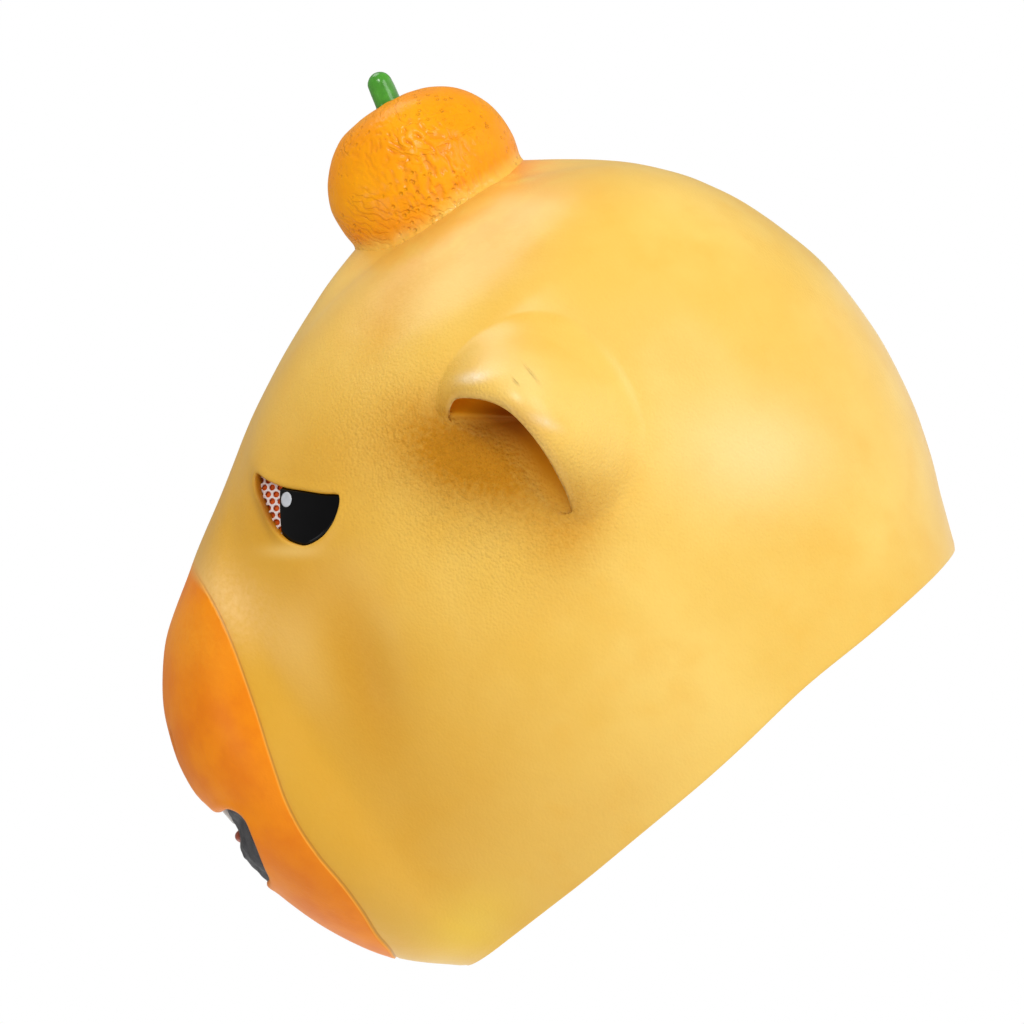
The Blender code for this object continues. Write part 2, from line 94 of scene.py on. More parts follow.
# Left ear, round its opening: rim y and z, stand-out, root y and z, wall; in millimetres
EAR_ROUND = (
    (14.2, 189.4, 9.0, 13.5, 196.0, 4.6),
    (20.2, 191.2, 19.5, 27.5, 203.5, 4.6),
    (25.6, 186.6, 29.5, 46.0, 205.5, 3.8),
    (30.0, 179.4, 35.0, 65.0, 199.5, 3.0),
    (32.8, 170.2, 38.0, 78.0, 185.5, 2.6),
    (33.7, 158.7, 36.5, 82.0, 162.0, 2.6),
    (33.2, 146.9, 31.0, 77.0, 139.0, 2.8),
    (31.6, 136.0, 21.5, 65.0, 121.0, 3.2),
    (29.6, 127.5, 10.5, 47.0, 112.5, 3.6),
    (26.0, 122.6, 3.2, 27.5, 114.0, 3.6),
    (20.0, 128.0, 0.9, 13.5, 125.0, 3.0),
    (20.6, 143.0, 0.6, 13.0, 141.0, 3.0),
    (20.8, 160.0, 0.0, 12.0, 157.0, 3.0),
    (16.4, 173.0, 0.4, 10.0, 170.0, 3.0),
    (13.2, 180.5, 0.4, 9.0, 179.5, 3.2),
    (12.2, 185.8, 2.2, 8.6, 188.0, 3.8),
)
EAR_STEPS = 96
# Steps over the hood, round the thickness of the rim and down the bowl, and rings inside the rim
EAR_HOOD_STEPS = 16
EAR_RIM_STEPS = 7
EAR_BOWL_STEPS = 12
EAR_INNER_RINGS = 24
# Outermost ring, as a share of the way from the rim to the root
EAR_SKIRT = 1.06
EAR_DOME = 2.05
EAR_REACH = 0.88
# What "hollow" holds from just above the rim inwards: below 0 the rim's painted highlight, above 0 the
# bowl and its painted shade
EAR_HOLLOW = (0.0, -0.3, -0.9, -0.2, 0.25, 0.45, 0.6, 0.75, 0.88)
# How far the rim is curled in, and over which share of the way to the root
EAR_CURL = 0.0030
EAR_CURL_REACH = 0.13
EAR_FLOOR = -0.0012
EAR_FLOOR_SOFT = 0.003
# Middle of the bowl, y and z, and its height
EAR_MIDDLE = (0.042, 0.160)
EAR_MIDDLE_RISE = 0.6 * EAR_FLOOR

# Eye opening, y and z as shares of its length from its middle
EYE_LENGTH = 0.040
EYE_Y = -0.1653 * MASK_DEPTH
EYE_Z = 0.74 * CROWN_HEIGHT
EYE_FACING = (0.72, -0.42, 0.55)
EYE_OUTLINE = (
    (-0.135, 0.485),
    (-0.090, 0.358),
    (-0.003, 0.195),
    (0.123, 0.048),
    (0.268, -0.120),
    (0.393, -0.240),
    (0.380, -0.300),
    (0.290, -0.375),
    (0.145, -0.445),
    (-0.033, -0.473),
    (-0.213, -0.430),
    (-0.305, -0.323),
    (-0.350, -0.203),
    (-0.348, 0.005),
    (-0.295, 0.195),
    (-0.238, 0.355),
)
EYE_STEPS = 96
# Rings of the eye opening, from the skin round its lids and back to the inside:
# outwards, share of the skin, extra depth in the front corner, swelling
EYE_RINGS = (
    (0.0050, 0.00, 0.0, 0.0),
    (0.0036, 0.00, 0.0, 0.0001),
    (0.0024, 0.00, 0.0, 0.0003),
    (0.0015, 0.00, 0.0, 0.0004),
    (0.0008, 0.00, 0.0, 0.0003),
    (0.0003, 0.12, 0.0, 0.0),
    (0.0000, 0.40, 0.0, 0.0),
    (-0.0001, 0.80, 0.5, 0.0),
    (0.0000, 1.10, 1.1, 0.0),
    (0.0006, 1.30, 1.2, 0.0),
    (0.0014, 1.20, 0.6, 0.0),
    (0.0024, 1.00, 0.0, 0.0),
)
# How many of these rings lie on the skin, before the edge of the lids
EYE_SKIN_RINGS = 5
EYE_CORNER = 0.006
# How far the black eye, and the net and the gauze, reach behind the lids
DOME_MARGIN = 0.0022
NET_MARGIN = 0.0042
DOME_RADIUS = 0.027
DOME_RISE = 0.0072
DOME_RECESS = 0.0008
GLINT_PLACE = (0.0834, -0.0625, 0.2050)
GLINT_SIZE = (0.0031, 0.0035)
# Rings of the glint: share of its size, height
GLINT_RINGS = ((1.0, -0.0003), (1.0, 0.0001), (0.92, 0.00030), (0.7, 0.00042), (0.4, 0.00048))
GLINT_TOP = 0.0005
# Line between the black eye and the net, its ends in the same shares
NET_EDGE = ((-0.028, 0.216), (-0.380, -0.189))
NET_PITCH = 0.0033
NET_STRAND = 0.00052
NET_THICK = 0.0006
# The net is drawn out on the slant: turn, stretches along and across, turn back
NET_DRAWN = (15.4, 1.88, 1.03, 117.4)

# Left half of the mouth opening, x and z as shares of its size from its middle
MOUTH_WIDTH = 0.1146
MOUTH_HEIGHT = 0.0363
MOUTH_Z = 0.38 * CROWN_HEIGHT
MOUTH_OUTLINE = (
    (0.000, 0.500),
    (0.260, 0.500),
    (0.410, 0.482),
    (0.475, 0.394),
    (0.500, 0.256),
    (0.485, 0.077),
    (0.450, -0.116),
    (0.393, -0.309),
    (0.331, -0.460),
    (0.218, -0.498),
    (0.000, -0.500),
)
MOUTH_STEPS = 160
# Rings of the mouth opening, from the skin round its lips and back to the inside:
# outwards, share of the skin, swelling
MOUTH_RINGS = (
    (0.0075, 0.00, 0.0),
    (0.0055, 0.00, 0.0002),
    (0.0038, 0.00, 0.0005),
    (0.0024, 0.00, 0.0006),
    (0.0013, 0.05, 0.0004),
    (0.0005, 0.25, 0.0001),
    (0.0000, 0.60, 0.0),
    (-0.0001, 1.00, 0.0),
    (0.0004, 1.40, 0.0),
    (0.0014, 1.50, 0.0),
    (0.0030, 1.20, 0.0),
    (0.0045, 1.00, 0.0),
)

# Edge of the orange muzzle: height and y, in millimetres
MUZZLE_EDGE = (
    (0.0, -172.0),
    (22.0, -158.7),
    (27.9, -156.1),
    (37.8, -155.1),
    (50.9, -152.6),
    (63.9, -151.2),
    (79.0, -151.0),
    (94.4, -149.4),
    (108.3, -146.0),
    (127.0, -138.5),
    (142.3, -131.9),
    (158.1, -125.7),
    (173.0, -120.4),
    (185.2, -117.1),
    (198.6, -114.7),
    (209.3, -114.0),
    (240.0, -113.0),
)
MUZZLE_CUTS = (-0.0030, -0.0012, -0.0003, 0.0002, 0.0008, 0.0020)

# Mandarin profile from the top of its axis down, radius and height as shares of its radius
MANDARIN_RADIUS = 0.0425
MANDARIN_Y = 0.2052 * MASK_DEPTH
MANDARIN_Z = CROWN_HEIGHT + 0.0062
MANDARIN_LEAN = math.radians(17)
MANDARIN_PROFILE = (
    (0.00, 0.770),
    (0.10, 0.780),
    (0.28, 0.775),
    (0.46, 0.730),
    (0.66, 0.630),
    (0.83, 0.460),
    (0.95, 0.240),
    (1.00, 0.000),
    (0.99, -0.220),
    (0.94, -0.420),
    (0.84, -0.600),
    (0.70, -0.740),
    (0.45, -0.840),
    (0.00, -0.880),
)
MANDARIN_PLACE = Matrix.Translation((0, MANDARIN_Y, MANDARIN_Z)) @ Matrix.Rotation(-MANDARIN_LEAN, 4, "X")
MANDARIN_RINGS = 170
MANDARIN_STEPS = 360
# How deep the base is sunk into the skin, and how far it flares out over which height
MANDARIN_SUNK = 0.0005
MANDARIN_FLARE = 0.0016
MANDARIN_FLARE_HEIGHT = 0.0014
STALK_RADIUS = 0.0055
STALK_LENGTH = 0.0150
# Foot of the stalk: share of its radius, height above the fruit
STALK_FOOT = ((1.12, -0.0014), (1.06, 0.0010), (1.04, 0.0030), (1.02, 0.0065))
STALK_STEPS = 48
# The stalk stands a little beside the middle of the fruit
STALK_ASIDE = Matrix.Translation((0.0010, -0.0020, -0.0006))


def spline_through(keys, values, wanted):
    """Smooth curve through rows of values at keys, read at wanted."""
    slopes = np.gradient(values, keys, axis=0)
    at = np.clip(np.searchsorted(keys, wanted, side="right") - 1, 0, len(keys) - 2)
    span = (keys[at + 1] - keys[at])[:, None]
    t = (wanted - keys[at])[:, None] / span
    start_weight = 2 * t**3 - 3 * t**2 + 1
    return (
        start_weight * values[at]
        + (t**3 - 2 * t**2 + t) * span * slopes[at]
        + (1 - start_weight) * values[at + 1]
        + (t**3 - t**2) * span * slopes[at + 1]
    )


def closed_curve(points, count, even=True):
    """count points on a smooth closed curve through points, evenly spaced or even in the keys."""
    points = np.asarray(points, float)
    around = np.vstack([points[-3:], points, points[:4]])
    keys = np.arange(len(around), dtype=float)
    dense = 24 * len(points) if even else count
    curve = spline_through(keys, around, 3 + np.arange(dense) * len(points) / dense)
    return evenly(curve, count, closed=True) if even else curve


def evenly(line, count, closed=False):
    """count evenly spaced points along a line, or round a closed one."""
    line = np.array([tuple(point) for point in line])
    if closed:
        line = np.vstack([line, line[:1]])
    walked = np.concatenate([[0], np.cumsum(np.linalg.norm(np.diff(line, axis=0), axis=1))])
    at = np.arange(count) * walked[-1] / count if closed else np.linspace(0, walked[-1], count)
    return np.column_stack([np.interp(at, walked, column) for column in line.T])


def smooth_step(low, high, value):
    """Goes from 0 at low to 1 at high with no corners."""
    t = np.clip((value - low) / (high - low), 0, 1)
    return t * t * (3 - 2 * t)


def bell(value, middle, reach):
    """1 where value is at middle, falling towards 0 on both sides of it over the reach."""
    return math.exp(-(((value - middle) / reach) ** 2))


def head_rows(count):
    """The head's sections in metres, count of them, evenly spaced along the profile."""
    scale = [CROWN_HEIGHT, MASK_DEPTH, MASK_DEPTH, HEAD_WIDTH / 2, MUZZLE_WIDTH / 2, MASK_DEPTH]
    rows = np.array(HEAD_SECTIONS) * scale
    beyond = rows[-2, [0, 2, 1, 3, 4, 5]] * np.array([1, 1, 1, -1, -1, 1])
    rows = np.vstack([rows, beyond])
    steps = np.linalg.norm(np.diff(rows[:, :4], axis=0), axis=1)
    keys = np.concatenate([[0], np.cumsum(steps)])
    return spline_through(keys, rows, np.linspace(0, keys[-2], count))


def half_section(row, steps):
    """Points (x, y) of one section's left half, from the front round to the back."""
    _, front, back, half_width, muzzle, setback = row
    chord = back - front
    widest = front + WIDEST_AT * chord
    y = (front + back) / 2 - chord / 2 * np.cos(np.linspace(0, math.pi, SECTION_SAMPLES))
    skull_front = front + max(setback, 0)
    forward = np.clip((widest - y) / (widest - skull_front), 0, 1)
    backward = np.clip((y - widest) / (back - widest), 0, 1)
    round_front = (1 - forward**SKULL_ROUNDNESS) ** (1 / SKULL_ROUNDNESS)
    round_back = (1 - backward**BACK_ROUNDNESS) ** (1 / BACK_ROUNDNESS)
    p = BLEND_SHARPNESS
    muzzle = max(muzzle, 0)
    skull_width = max(half_width**p - muzzle**p, 0) ** (1 / p)
    skull = skull_width * np.where(y < widest, round_front, round_back)
    corner = MUZZLE_CORNER * 2 * muzzle / MUZZLE_WIDTH
    nose = np.clip((front + corner - y) / corner, 0, 1)
    snout = muzzle * (1 - nose**MUZZLE_ROUNDNESS) ** (1 / MUZZLE_ROUNDNESS)
    snout *= 1 - backward**2
    x = (skull**p + snout**p) ** (1 / p)
    x[0] = x[-1] = 0
    return evenly(np.column_stack([x, y]), steps + 1)


def head_grid(rings):
    """Rings of points up the head's outside, from the neck to just under the crown."""
    grid = []
    for row in head_rows(rings + 1)[:-1]:
        half = half_section(row, SIDE_STEPS)
        ring = np.vstack([half, half[-2:0:-1] * [-1, 1]])
        grid.append(np.column_stack([ring, np.full(len(ring), row[0])]))
    return np.array(grid)


def join_rings(bm, lower, upper):
    """Adds the faces between two closed rings of vertices."""
    for i in range(len(lower)):
        j = (i + 1) % len(lower)
        bm.faces.new((lower[i], lower[j], upper[j], upper[i]))


def turned_rings(profile, steps):
    """Rings of points from a profile of radii and heights turned round the Z axis."""
    turns = [step * 2 * math.pi / steps for step in range(steps)]
    return [[(r * math.cos(t), r * math.sin(t), height) for t in turns] for r, height in profile]


def add_rings(bm, rings, pole=None):
    """Adds closed rings of points and the faces between them, closed at pole. Returns the rings."""
    made = [[bm.verts.new(point) for point in ring] for ring in rings]
    for lower, upper in zip(made, made[1:]):
        join_rings(bm, lower, upper)
    if pole is not None:
        top = made[-1]
        tip = bm.verts.new(pole)
        for i in range(len(top)):
            bm.faces.new((top[i], top[(i + 1) % len(top)], tip))
    return made


def head_shell(rings, inset):
    """The head's outside taken in by inset, open at the neck. Returns the bmesh and its neck."""
    bm = bmesh.new()
    bm.verts.layers.float.new("behind_muzzle_edge")
    bm.verts.layers.float.new("inside")
    bm.verts.layers.float.new("hollow")
    crown = (0, HEAD_SECTIONS[-1][1] * MASK_DEPTH, CROWN_HEIGHT)
    made = add_rings(bm, head_grid(rings), crown)
    bm.normal_update()
    outward = [v.normal.copy() for v in bm.verts]
    for vertex, normal in zip(bm.verts, outward):
        vertex.co -= normal * inset
    return bm, made[0]


def muzzle_edge_y(z):
    """The y of the muzzle's edge at height z."""
    table = np.array(MUZZLE_EDGE) / 1000
    return spline_through(table[:, 0], table[:, 1:], np.clip(np.atleast_1d(z), 0, table[-1, 0]))[:, 0]


def cut_along_muzzle(bm):
    """Cuts the outside along lines beside the muzzle's edge, in space sheared to make it flat."""
    def shear(sign):
        verts = list(bm.verts)
        edge = muzzle_edge_y(np.array([v.co.z for v in verts]))
        for vertex, y in zip(verts, edge):
            vertex.co.y += sign * y

    shear(-1)
    for level in MUZZLE_CUTS:
        near = [f for f in bm.faces if abs(f.calc_center_median().y - level) < 0.02]
        parts = set(near) | {e for f in near for e in f.edges} | {v for f in near for v in f.verts}
        bmesh.ops.bisect_plane(
            bm, geom=list(parts), dist=1e-5, plane_co=(0, level, 0), plane_no=(0, 1, 0)
        )
    shear(1)


def in_outline(points, outline):
    """Which of the flat points lie inside the closed outline."""
    inside = np.zeros(len(points), bool)
    for a, b in zip(outline, np.roll(outline, -1, axis=0)):
        crosses = (a[1] > points[:, 1]) != (b[1] > points[:, 1])
        height = b[1] - a[1] if b[1] != a[1] else 1e-12
        inside ^= crosses & (points[:, 0] < a[0] + (points[:, 1] - a[1]) * (b[0] - a[0]) / height)
    return inside


def within(a, b, outline):
    """How far a flat point lies inside a closed outline of many points, or 0 outside it."""
    after = np.roll(outline, -1, axis=0)
    crosses = (outline[:, 1] > b) != (after[:, 1] > b)
    start, end = outline[crosses], after[crosses]
    at = start[:, 0] + (b - start[:, 1]) * (end[:, 0] - start[:, 0]) / (end[:, 1] - start[:, 1])
    inside = np.count_nonzero(at > a) % 2
    return float(np.hypot(outline[:, 0] - a, outline[:, 1] - b).min()) if inside else 0.0


def grown(outline, by):
    """The closed outline moved outwards by a distance, or inwards if it is negative."""
    outline = np.asarray(outline)
    along = np.roll(outline, -1, axis=0) - np.roll(outline, 1, axis=0)
    across = np.column_stack([along[:, 1], -along[:, 0]])
    across /= np.linalg.norm(across, axis=1)[:, None]
    after = np.roll(outline, -1, axis=0)
    area = np.sum(outline[:, 0] * after[:, 1] - after[:, 0] * outline[:, 1])
    return outline + across * by * np.sign(area)


class Chart:
    """A flat drawing laid on the head: its points go along the frame's Z onto the skin."""

    def __init__(self, place):
        self.place = place
        self.inverse = place.inverted()
        self.out = place.to_3x3() @ Vector((0, 0, 1))

    def on(self, tree, a, b):
        start = self.place @ Vector((a, b, 0.15))
        return tree.ray_cast(start, -self.out)[0]

    def skin(self, a, b, share=0.0, rise=0.0):
        """Point at a share of the way from the outside to the inside of the skin."""
        outer = self.on(OUTSIDE, a, b)
        point = outer.lerp(self.on(INSIDE, a, b), share) if share else outer
        return point + self.out * rise

    def flat(self, point):
        return (self.inverse @ point).xy


def stitch(bm, chart, ring, verts, margin):
    """Opens a hole in the skin round a ring of a patch and joins the two with triangles."""
    verts = [v for v in verts if v.is_valid]
    drawn = np.array([chart.flat(v.co) for v in ring])
    flat = np.array([chart.flat(v.co) for v in verts])
    facing = np.array([v.normal.dot(chart.out) > 0.1 for v in verts])
    lost = {v for v, gone in zip(verts, in_outline(flat, grown(drawn, margin)) & facing) if gone}
    faces = {f for v in lost for f in v.link_faces}
    border = {}
    for face in faces:
        for loop in face.loops:
            if loop.link_loop_radial_next.face not in faces:
                border[loop.vert] = loop.link_loop_next.vert
    walk = [next(iter(border))]
    while border[walk[-1]] is not walk[0]:
        walk.append(border[walk[-1]])
    bmesh.ops.delete(bm, geom=list(faces), context="FACES_ONLY")
    bmesh.ops.delete(bm, geom=[v for v in lost if v.is_valid], context="VERTS")
    corners = walk + list(ring)
    count, inner = len(walk), len(ring)
    edges = [(i, (i + 1) % count) for i in range(count)]
    edges += [(count + i, count + (i + 1) % inner) for i in range(inner)]
    places = [chart.flat(v.co) for v in corners]
    _, _, triangles, origins, _, _ = geometry.delaunay_2d_cdt(places, edges, [], 1, 1e-9)
    middles = np.array([sum((places[i] for i in t), Vector((0, 0))) / 3 for t in triangles])
    for triangle, hidden in zip(triangles, in_outline(middles, drawn)):
        if not hidden:
            bm.faces.new([corners[i] for i in triangle])


def both_sides(rings):
    """Rings of the left side's points, and the same mirrored to the right side."""
    yield Matrix.Identity(4), rings
    yield FLIP, [[Vector((-p.x, p.y, p.z)) for p in ring] for ring in rings]


def ear_rings():
    """Rings of the left ear, from its root over the hood and rim down into its bowl."""
    table = np.array(EAR_ROUND) / 1000
    lines = []
    for rim_y, rim_z, rise, root_y, root_z, wall in closed_curve(table, EAR_STEPS, even=False):
        rise = max(rise, 0)
        rim = np.array([rim_y, rim_z])
        reach = np.array([root_y, root_z]) - rim
        length = np.linalg.norm(reach)
        curl = EAR_CURL * min(rise / 0.02, 1)

        def outer(share):
            return rise * max(1 - share**2, 0) ** EAR_DOME - curl * bell(share, 0, EAR_CURL_REACH)

        def under(share):
            slope = (outer(min(share + 0.01, 1)) - outer(max(share - 0.01, 0))) / 0.02
            size = math.hypot(slope, length)
            q = outer(share) - wall * length / size - EAR_FLOOR
            along = share * length + wall * slope / size
            return along / length, EAR_FLOOR + (q + math.hypot(q, EAR_FLOOR_SOFT)) / 2

        line = [(*(rim + reach * EAR_SKIRT), 0.0)]
        for step in range(EAR_HOOD_STEPS + 1):
            share = math.cos(math.pi / 2 * step / EAR_HOOD_STEPS)
            line.append((*(rim + reach * share), outer(share)))
        hood = float(smooth_step(0.0, 0.005, rise))
        lip = outer(0.0)
        inner_rise = lip + (under(0.0)[1] - lip) * hood
        thick = lip - inner_rise
        turned_in = []
        for step in range(1, EAR_RIM_STEPS + 1):
            turn = math.pi * step / EAR_RIM_STEPS
            at = rim - reach / length * thick / 2 * math.sin(turn)
            turned_in.append((*at, inner_rise + thick * (1 + math.cos(turn)) / 2))
        depth = EAR_REACH * min(rise / 0.014, 1) ** 0.7 * hood
        for step in range(1, EAR_BOWL_STEPS + 1):
            share, height = under(depth * step / EAR_BOWL_STEPS)
            if depth > 0.02:
                turned_in.append((*(rim + reach * share), height * hood + lip * (1 - hood)))
        turned_in.append((*EAR_MIDDLE, EAR_MIDDLE_RISE))
        line.extend(evenly([line[-1], *turned_in], EAR_INNER_RINGS + 2)[1:-1])
        lines.append(line)
    chart = Chart(Matrix(((0, 0, 1, 0), (1, 0, 0, 0), (0, 1, 0, 0), (0, 0, 0, 1))))
    rings = [[chart.skin(a, b, 0.0, rise) for a, b, rise in ring] for ring in zip(*lines)]
    return chart, rings, chart.skin(*EAR_MIDDLE, 0.0, EAR_MIDDLE_RISE)


def eye_frame():
    """Frame of the left eye: X runs forward along the head, Y up along it and Z out of it."""
    out = Vector(EYE_FACING).normalized()
    ahead = Vector((0, -1, 0))
    ahead = (ahead - out * ahead.dot(out)).normalized()
    axes = Matrix((ahead, out.cross(ahead), out)).transposed().to_4x4()
    return Matrix.Translation(on_head(EYE_Y, EYE_Z)) @ axes


def on_head(y, z):
    """Place on the outside of the head's left half at the given y and z."""
    return OUTSIDE.ray_cast(Vector((HEAD_WIDTH, y, z)), Vector((-1, 0, 0)))[0]


def eye_drawing(shares):
    """Points of the eye given in shares of EYE_LENGTH, in the eye's flat frame."""
    return [EYE.flat(on_head(EYE_Y + y * EYE_LENGTH, EYE_Z + z * EYE_LENGTH)) for y, z in shares]


def eye_outline(margin):
    """The eye opening moved outwards by a margin, in the eye's flat frame."""
    return [Vector(p) for p in grown(closed_curve(eye_drawing(EYE_OUTLINE), EYE_STEPS), margin)]


def mouth_line():
    """The whole outline of the mouth opening, in the mouth's flat frame."""
    half = [(x * MOUTH_WIDTH, z * MOUTH_HEIGHT) for x, z in MOUTH_OUTLINE]
    return closed_curve(half + [(-x, z) for x, z in half[-2:0:-1]], MOUTH_STEPS)


def eye_rings():
    """Rings of the left eye opening, from the skin round its lids and back to the inside."""
    outline = closed_curve(eye_drawing(EYE_OUTLINE), EYE_STEPS)
    rings = []
    for outwards, share, deeper, swell in EYE_RINGS:
        ring = []
        for (a, b), start in zip(grown(outline, outwards), outline):
            front = min(max(start[0] / EYE_CORNER, 0), 1)
            ring.append(EYE.skin(a, b, share + deeper * front, swell))
        rings.append(ring)
    return rings


def mouth_rings():
    """Rings of the mouth opening, from the skin round its lips and back to the inside."""
    return [
        [MOUTH.skin(a, b, share, swell) for a, b in grown(MOUTH_LINE, outwards)]
        for outwards, share, swell in MOUTH_RINGS
    ]


# Soft hollows and swellings of the side: y, z, reach in y, reach in z, turn, height; millimetres
SIDE_FORMS = (
    (-82, 132, 13, 34, -22, -2.6),
    (-108, 156, 14, 20, 0, 1.4),
    (-62, 226, 22, 9, 40, 1.2),
    (-42, 168, 26, 14, 20, 0.8),
    (-50, 70, 40, 30, 0, 0.8),
    (-10, 92, 26, 12, -25, -0.9),
    (22, 64, 18, 12, 30, 0.8),
    (60, 40, 26, 12, 10, -0.8),
    (92, 120, 14, 26, -25, -0.9),
    (118, 150, 16, 26, -20, 0.7),
    (98, 205, 30, 12, -30, -0.7),
    (10, 232, 40, 14, 10, -0.8),
    (8, 176, 14, 22, 0, -1.0),
)
# Nostril dents: x, z, reach in x, reach in z, height; millimetres
NOSTRIL = (21, 160, 7, 4.5, -4.5)
# Flattened bridge of the nose: y, z, reach in y, reach in z, height
NOSE_BRIDGE = (-150, 187, 42, 34, -1.5)
# Raised edge of the muzzle and the groove behind it, which end between the two heights on the nose
MUZZLE_RISE = 0.75
MUZZLE_GROOVE = -0.30
MUZZLE_MARKS_END = (190, 206)
FRONT_OF_HEAD = -120


def lip_dip(point):
    """How far the upper lip and what lies behind it stand back, above the mouth."""
    x, y, z = point * 1000
    return -6.0 * bell(x, 0, 48) * bell(z, 118, 10) if y <= FRONT_OF_HEAD else 0.0


def crown_fall(point):
    """How far the crown falls away on either side of the ridge that the mandarin sits on."""
    x, y, z = point * 1000
    sides = smooth_step(0, 34, abs(x)) * smooth_step(198, 250, z)
    return float(-12.0 * sides * bell(y, 64, 60))


def soft_form(point, edge):
    """How far the skin swells out at a point that lies edge metres behind the muzzle's edge."""
    x, y, z = point * 1000
    height = 0.0
    for y0, z0, reach_y, reach_z, turn, swell in SIDE_FORMS:
        c, s = math.cos(math.radians(turn)), math.sin(math.radians(turn))
        a = ((y - y0) * c + (z - z0) * s) / reach_y
        b = ((z - z0) * c - (y - y0) * s) / reach_z
        if a * a + b * b < 9:
            height += swell * math.exp(-a * a - b * b) * min(abs(x) / 40, 1)
    if y < FRONT_OF_HEAD:
        x0, z0, reach_x, reach_z, swell = NOSTRIL
        height += swell * bell(abs(x), x0, reach_x) * bell(z, z0, reach_z)
    y0, z0, reach_y, reach_z, swell = NOSE_BRIDGE
    height += swell * bell(y, y0, reach_y) * bell(z, z0, reach_z)
    marked = 1 - smooth_step(*MUZZLE_MARKS_END, z)
    if edge < 0.0001:
        height += MUZZLE_RISE * marked * math.exp(max(edge, -0.2) / 0.030)
    elif edge < 0.0019:
        height += MUZZLE_GROOVE * marked * (1 - smooth_step(0.0004, 0.0019, edge))
    height += crown_fall(point) + lip_dip(point)
    waves = noise.noise(Vector((x, y, z)) * 0.018) + 0.35 * noise.noise(Vector((x, y, z)) * 0.06)
    return (height + 0.45 * waves) / 1000


def neck_wave(point):
    """How far the cut edge of the neck stands off the floor."""
    middle, reach, height = NECK_ARCH
    return height * bell(point.y, middle, reach) + NECK_WAVES * (1 + noise.noise(point * 22))


def add_ears(bm, outer):
    """Fits both ears into the outside and notes in "hollow" how deep each of their points lies."""
    ear, rings, bowl = ear_rings()
    rises = closed_curve(np.array(EAR_ROUND) / 1000, EAR_STEPS, even=False)[:, 2]
    hollow = bm.verts.layers.float["hollow"]
    for flip, side in both_sides(rings):
        made = add_rings(bm, side, flip @ bowl)
        # "hollow" below 0 marks the rim for a painted highlight, above 0 the bowl for painted shade
        for step, ring in enumerate(made[EAR_HOOD_STEPS:]):
            value = EAR_HOLLOW[step] if step < len(EAR_HOLLOW) else 1.0
            for vertex, rise in zip(ring, rises):
                hood = min(rise / 0.012, 1)
                vertex[hollow] = value * hood + (1 - hood) * min(max(step - 1, 0) / 12, 1)
        bm.verts.ensure_lookup_table()
        bm.verts[-1][hollow] = 1.0
        stitch(bm, Chart(flip @ ear.place), made[0], outer, OUTER_MARGIN)


def add_lids(bm, outer, inner):
    """Fits the lids of both eyes in between the outside and the inside."""
    hollow = bm.verts.layers.float["hollow"]
    for flip, side in both_sides(eye_rings()):
        made = add_rings(bm, side)
        # "hollow" on the walls of the lids darkens them in the paint, as painted shade
        for step, ring in enumerate(made[EYE_SKIN_RINGS:]):
            for vertex in ring:
                vertex[hollow] = min(0.25 + step / 6, 0.9)
        chart = Chart(flip @ EYE.place)
        stitch(bm, chart, made[0], outer, OUTER_MARGIN)
        stitch(bm, chart, made[-1], inner, INNER_MARGIN)


def add_lips(bm, outer, inner):
    """Fits the lips in between the outside and the inside."""
    made = add_rings(bm, mouth_rings())
    stitch(bm, MOUTH, made[0], outer, OUTER_MARGIN)
    stitch(bm, MOUTH, made[-1], inner, INNER_MARGIN)


def close_neck(bm, outer_neck, inner_neck):
    """Joins the outside and the inside along the cut edge of the neck."""
    for vertex in (*outer_neck, *inner_neck):
        vertex.co.z = NECK_SIDES
    loops = [outer_neck]
    for share, height in NECK_UNDER:
        points = [a.co.lerp(b.co, share) for a, b in zip(outer_neck, inner_neck)]
        loops.append([bm.verts.new((point.x, point.y, height)) for point in points])
    loops.append(inner_neck)
    for first, second in zip(loops, loops[1:]):
        join_rings(bm, first, second)


def soften(bm, inner):
    """Moves the skin into its soft forms, and notes for its paint what lies where."""
    verts = list(bm.verts)
    edges = np.array([v.co.y for v in verts]) - muzzle_edge_y(np.array([v.co.z for v in verts]))
    inner = {v for v in inner if v.is_valid}
    moves = []
    for vertex, edge in zip(verts, edges):
        normal = OUTSIDE.find_nearest(vertex.co)[1]
        moves.append(normal * soft_form(vertex.co, 1.0 if vertex in inner else edge))
    line = bm.verts.layers.float["behind_muzzle_edge"]
    inside = bm.verts.layers.float["inside"]
    for vertex, edge, move in zip(verts, edges, moves):
        vertex[line] = edge * 1000
        vertex[inside] = 1.0 if vertex in inner else 0.0
        height = vertex.co.z
        vertex.co += move * smooth_step(0.0, 0.012, height)
        vertex.co.z += neck_wave(vertex.co) * (1 - smooth_step(0.0, 0.060, height))


def head_skin():
    """The whole latex moulding as one closed mesh."""
    bm, outer_neck = head_shell(OUTER_RINGS, 0)
    cut_along_muzzle(bm)
    shell, _ = head_shell(INNER_RINGS, SKIN)
    mesh = bpy.data.meshes.new("inside")
    shell.to_mesh(mesh)
    shell.free()
    outer_count = len(bm.verts)
    bm.from_mesh(mesh)
    bpy.data.meshes.remove(mesh)
    bm.verts.ensure_lookup_table()
    bm.normal_update()
    outer, inner = bm.verts[:outer_count], bm.verts[outer_count:]
    inner_neck = inner[: 2 * SIDE_STEPS]
    add_ears(bm, outer)
    add_lids(bm, outer, inner)
    add_lips(bm, outer, inner)
    close_neck(bm, outer_neck, inner_neck)
    bmesh.ops.recalc_face_normals(bm, faces=bm.faces)
    soften(bm, inner)
    return piece("head_skin_latex", bm, SKIN_PAINT, "skin_yellow", "head_skin")


def piece(name, bm, paint, slot, *nodes):
    """Makes a finished piece of the mask from a bmesh: it rides the root and stands for nodes."""
    mesh = bpy.data.meshes.new(name)
    bm.to_mesh(mesh)
    bm.free()
    mesh.shade_smooth()
    return finished(bpy.data.objects.new(name, mesh), paint, slot, *nodes)


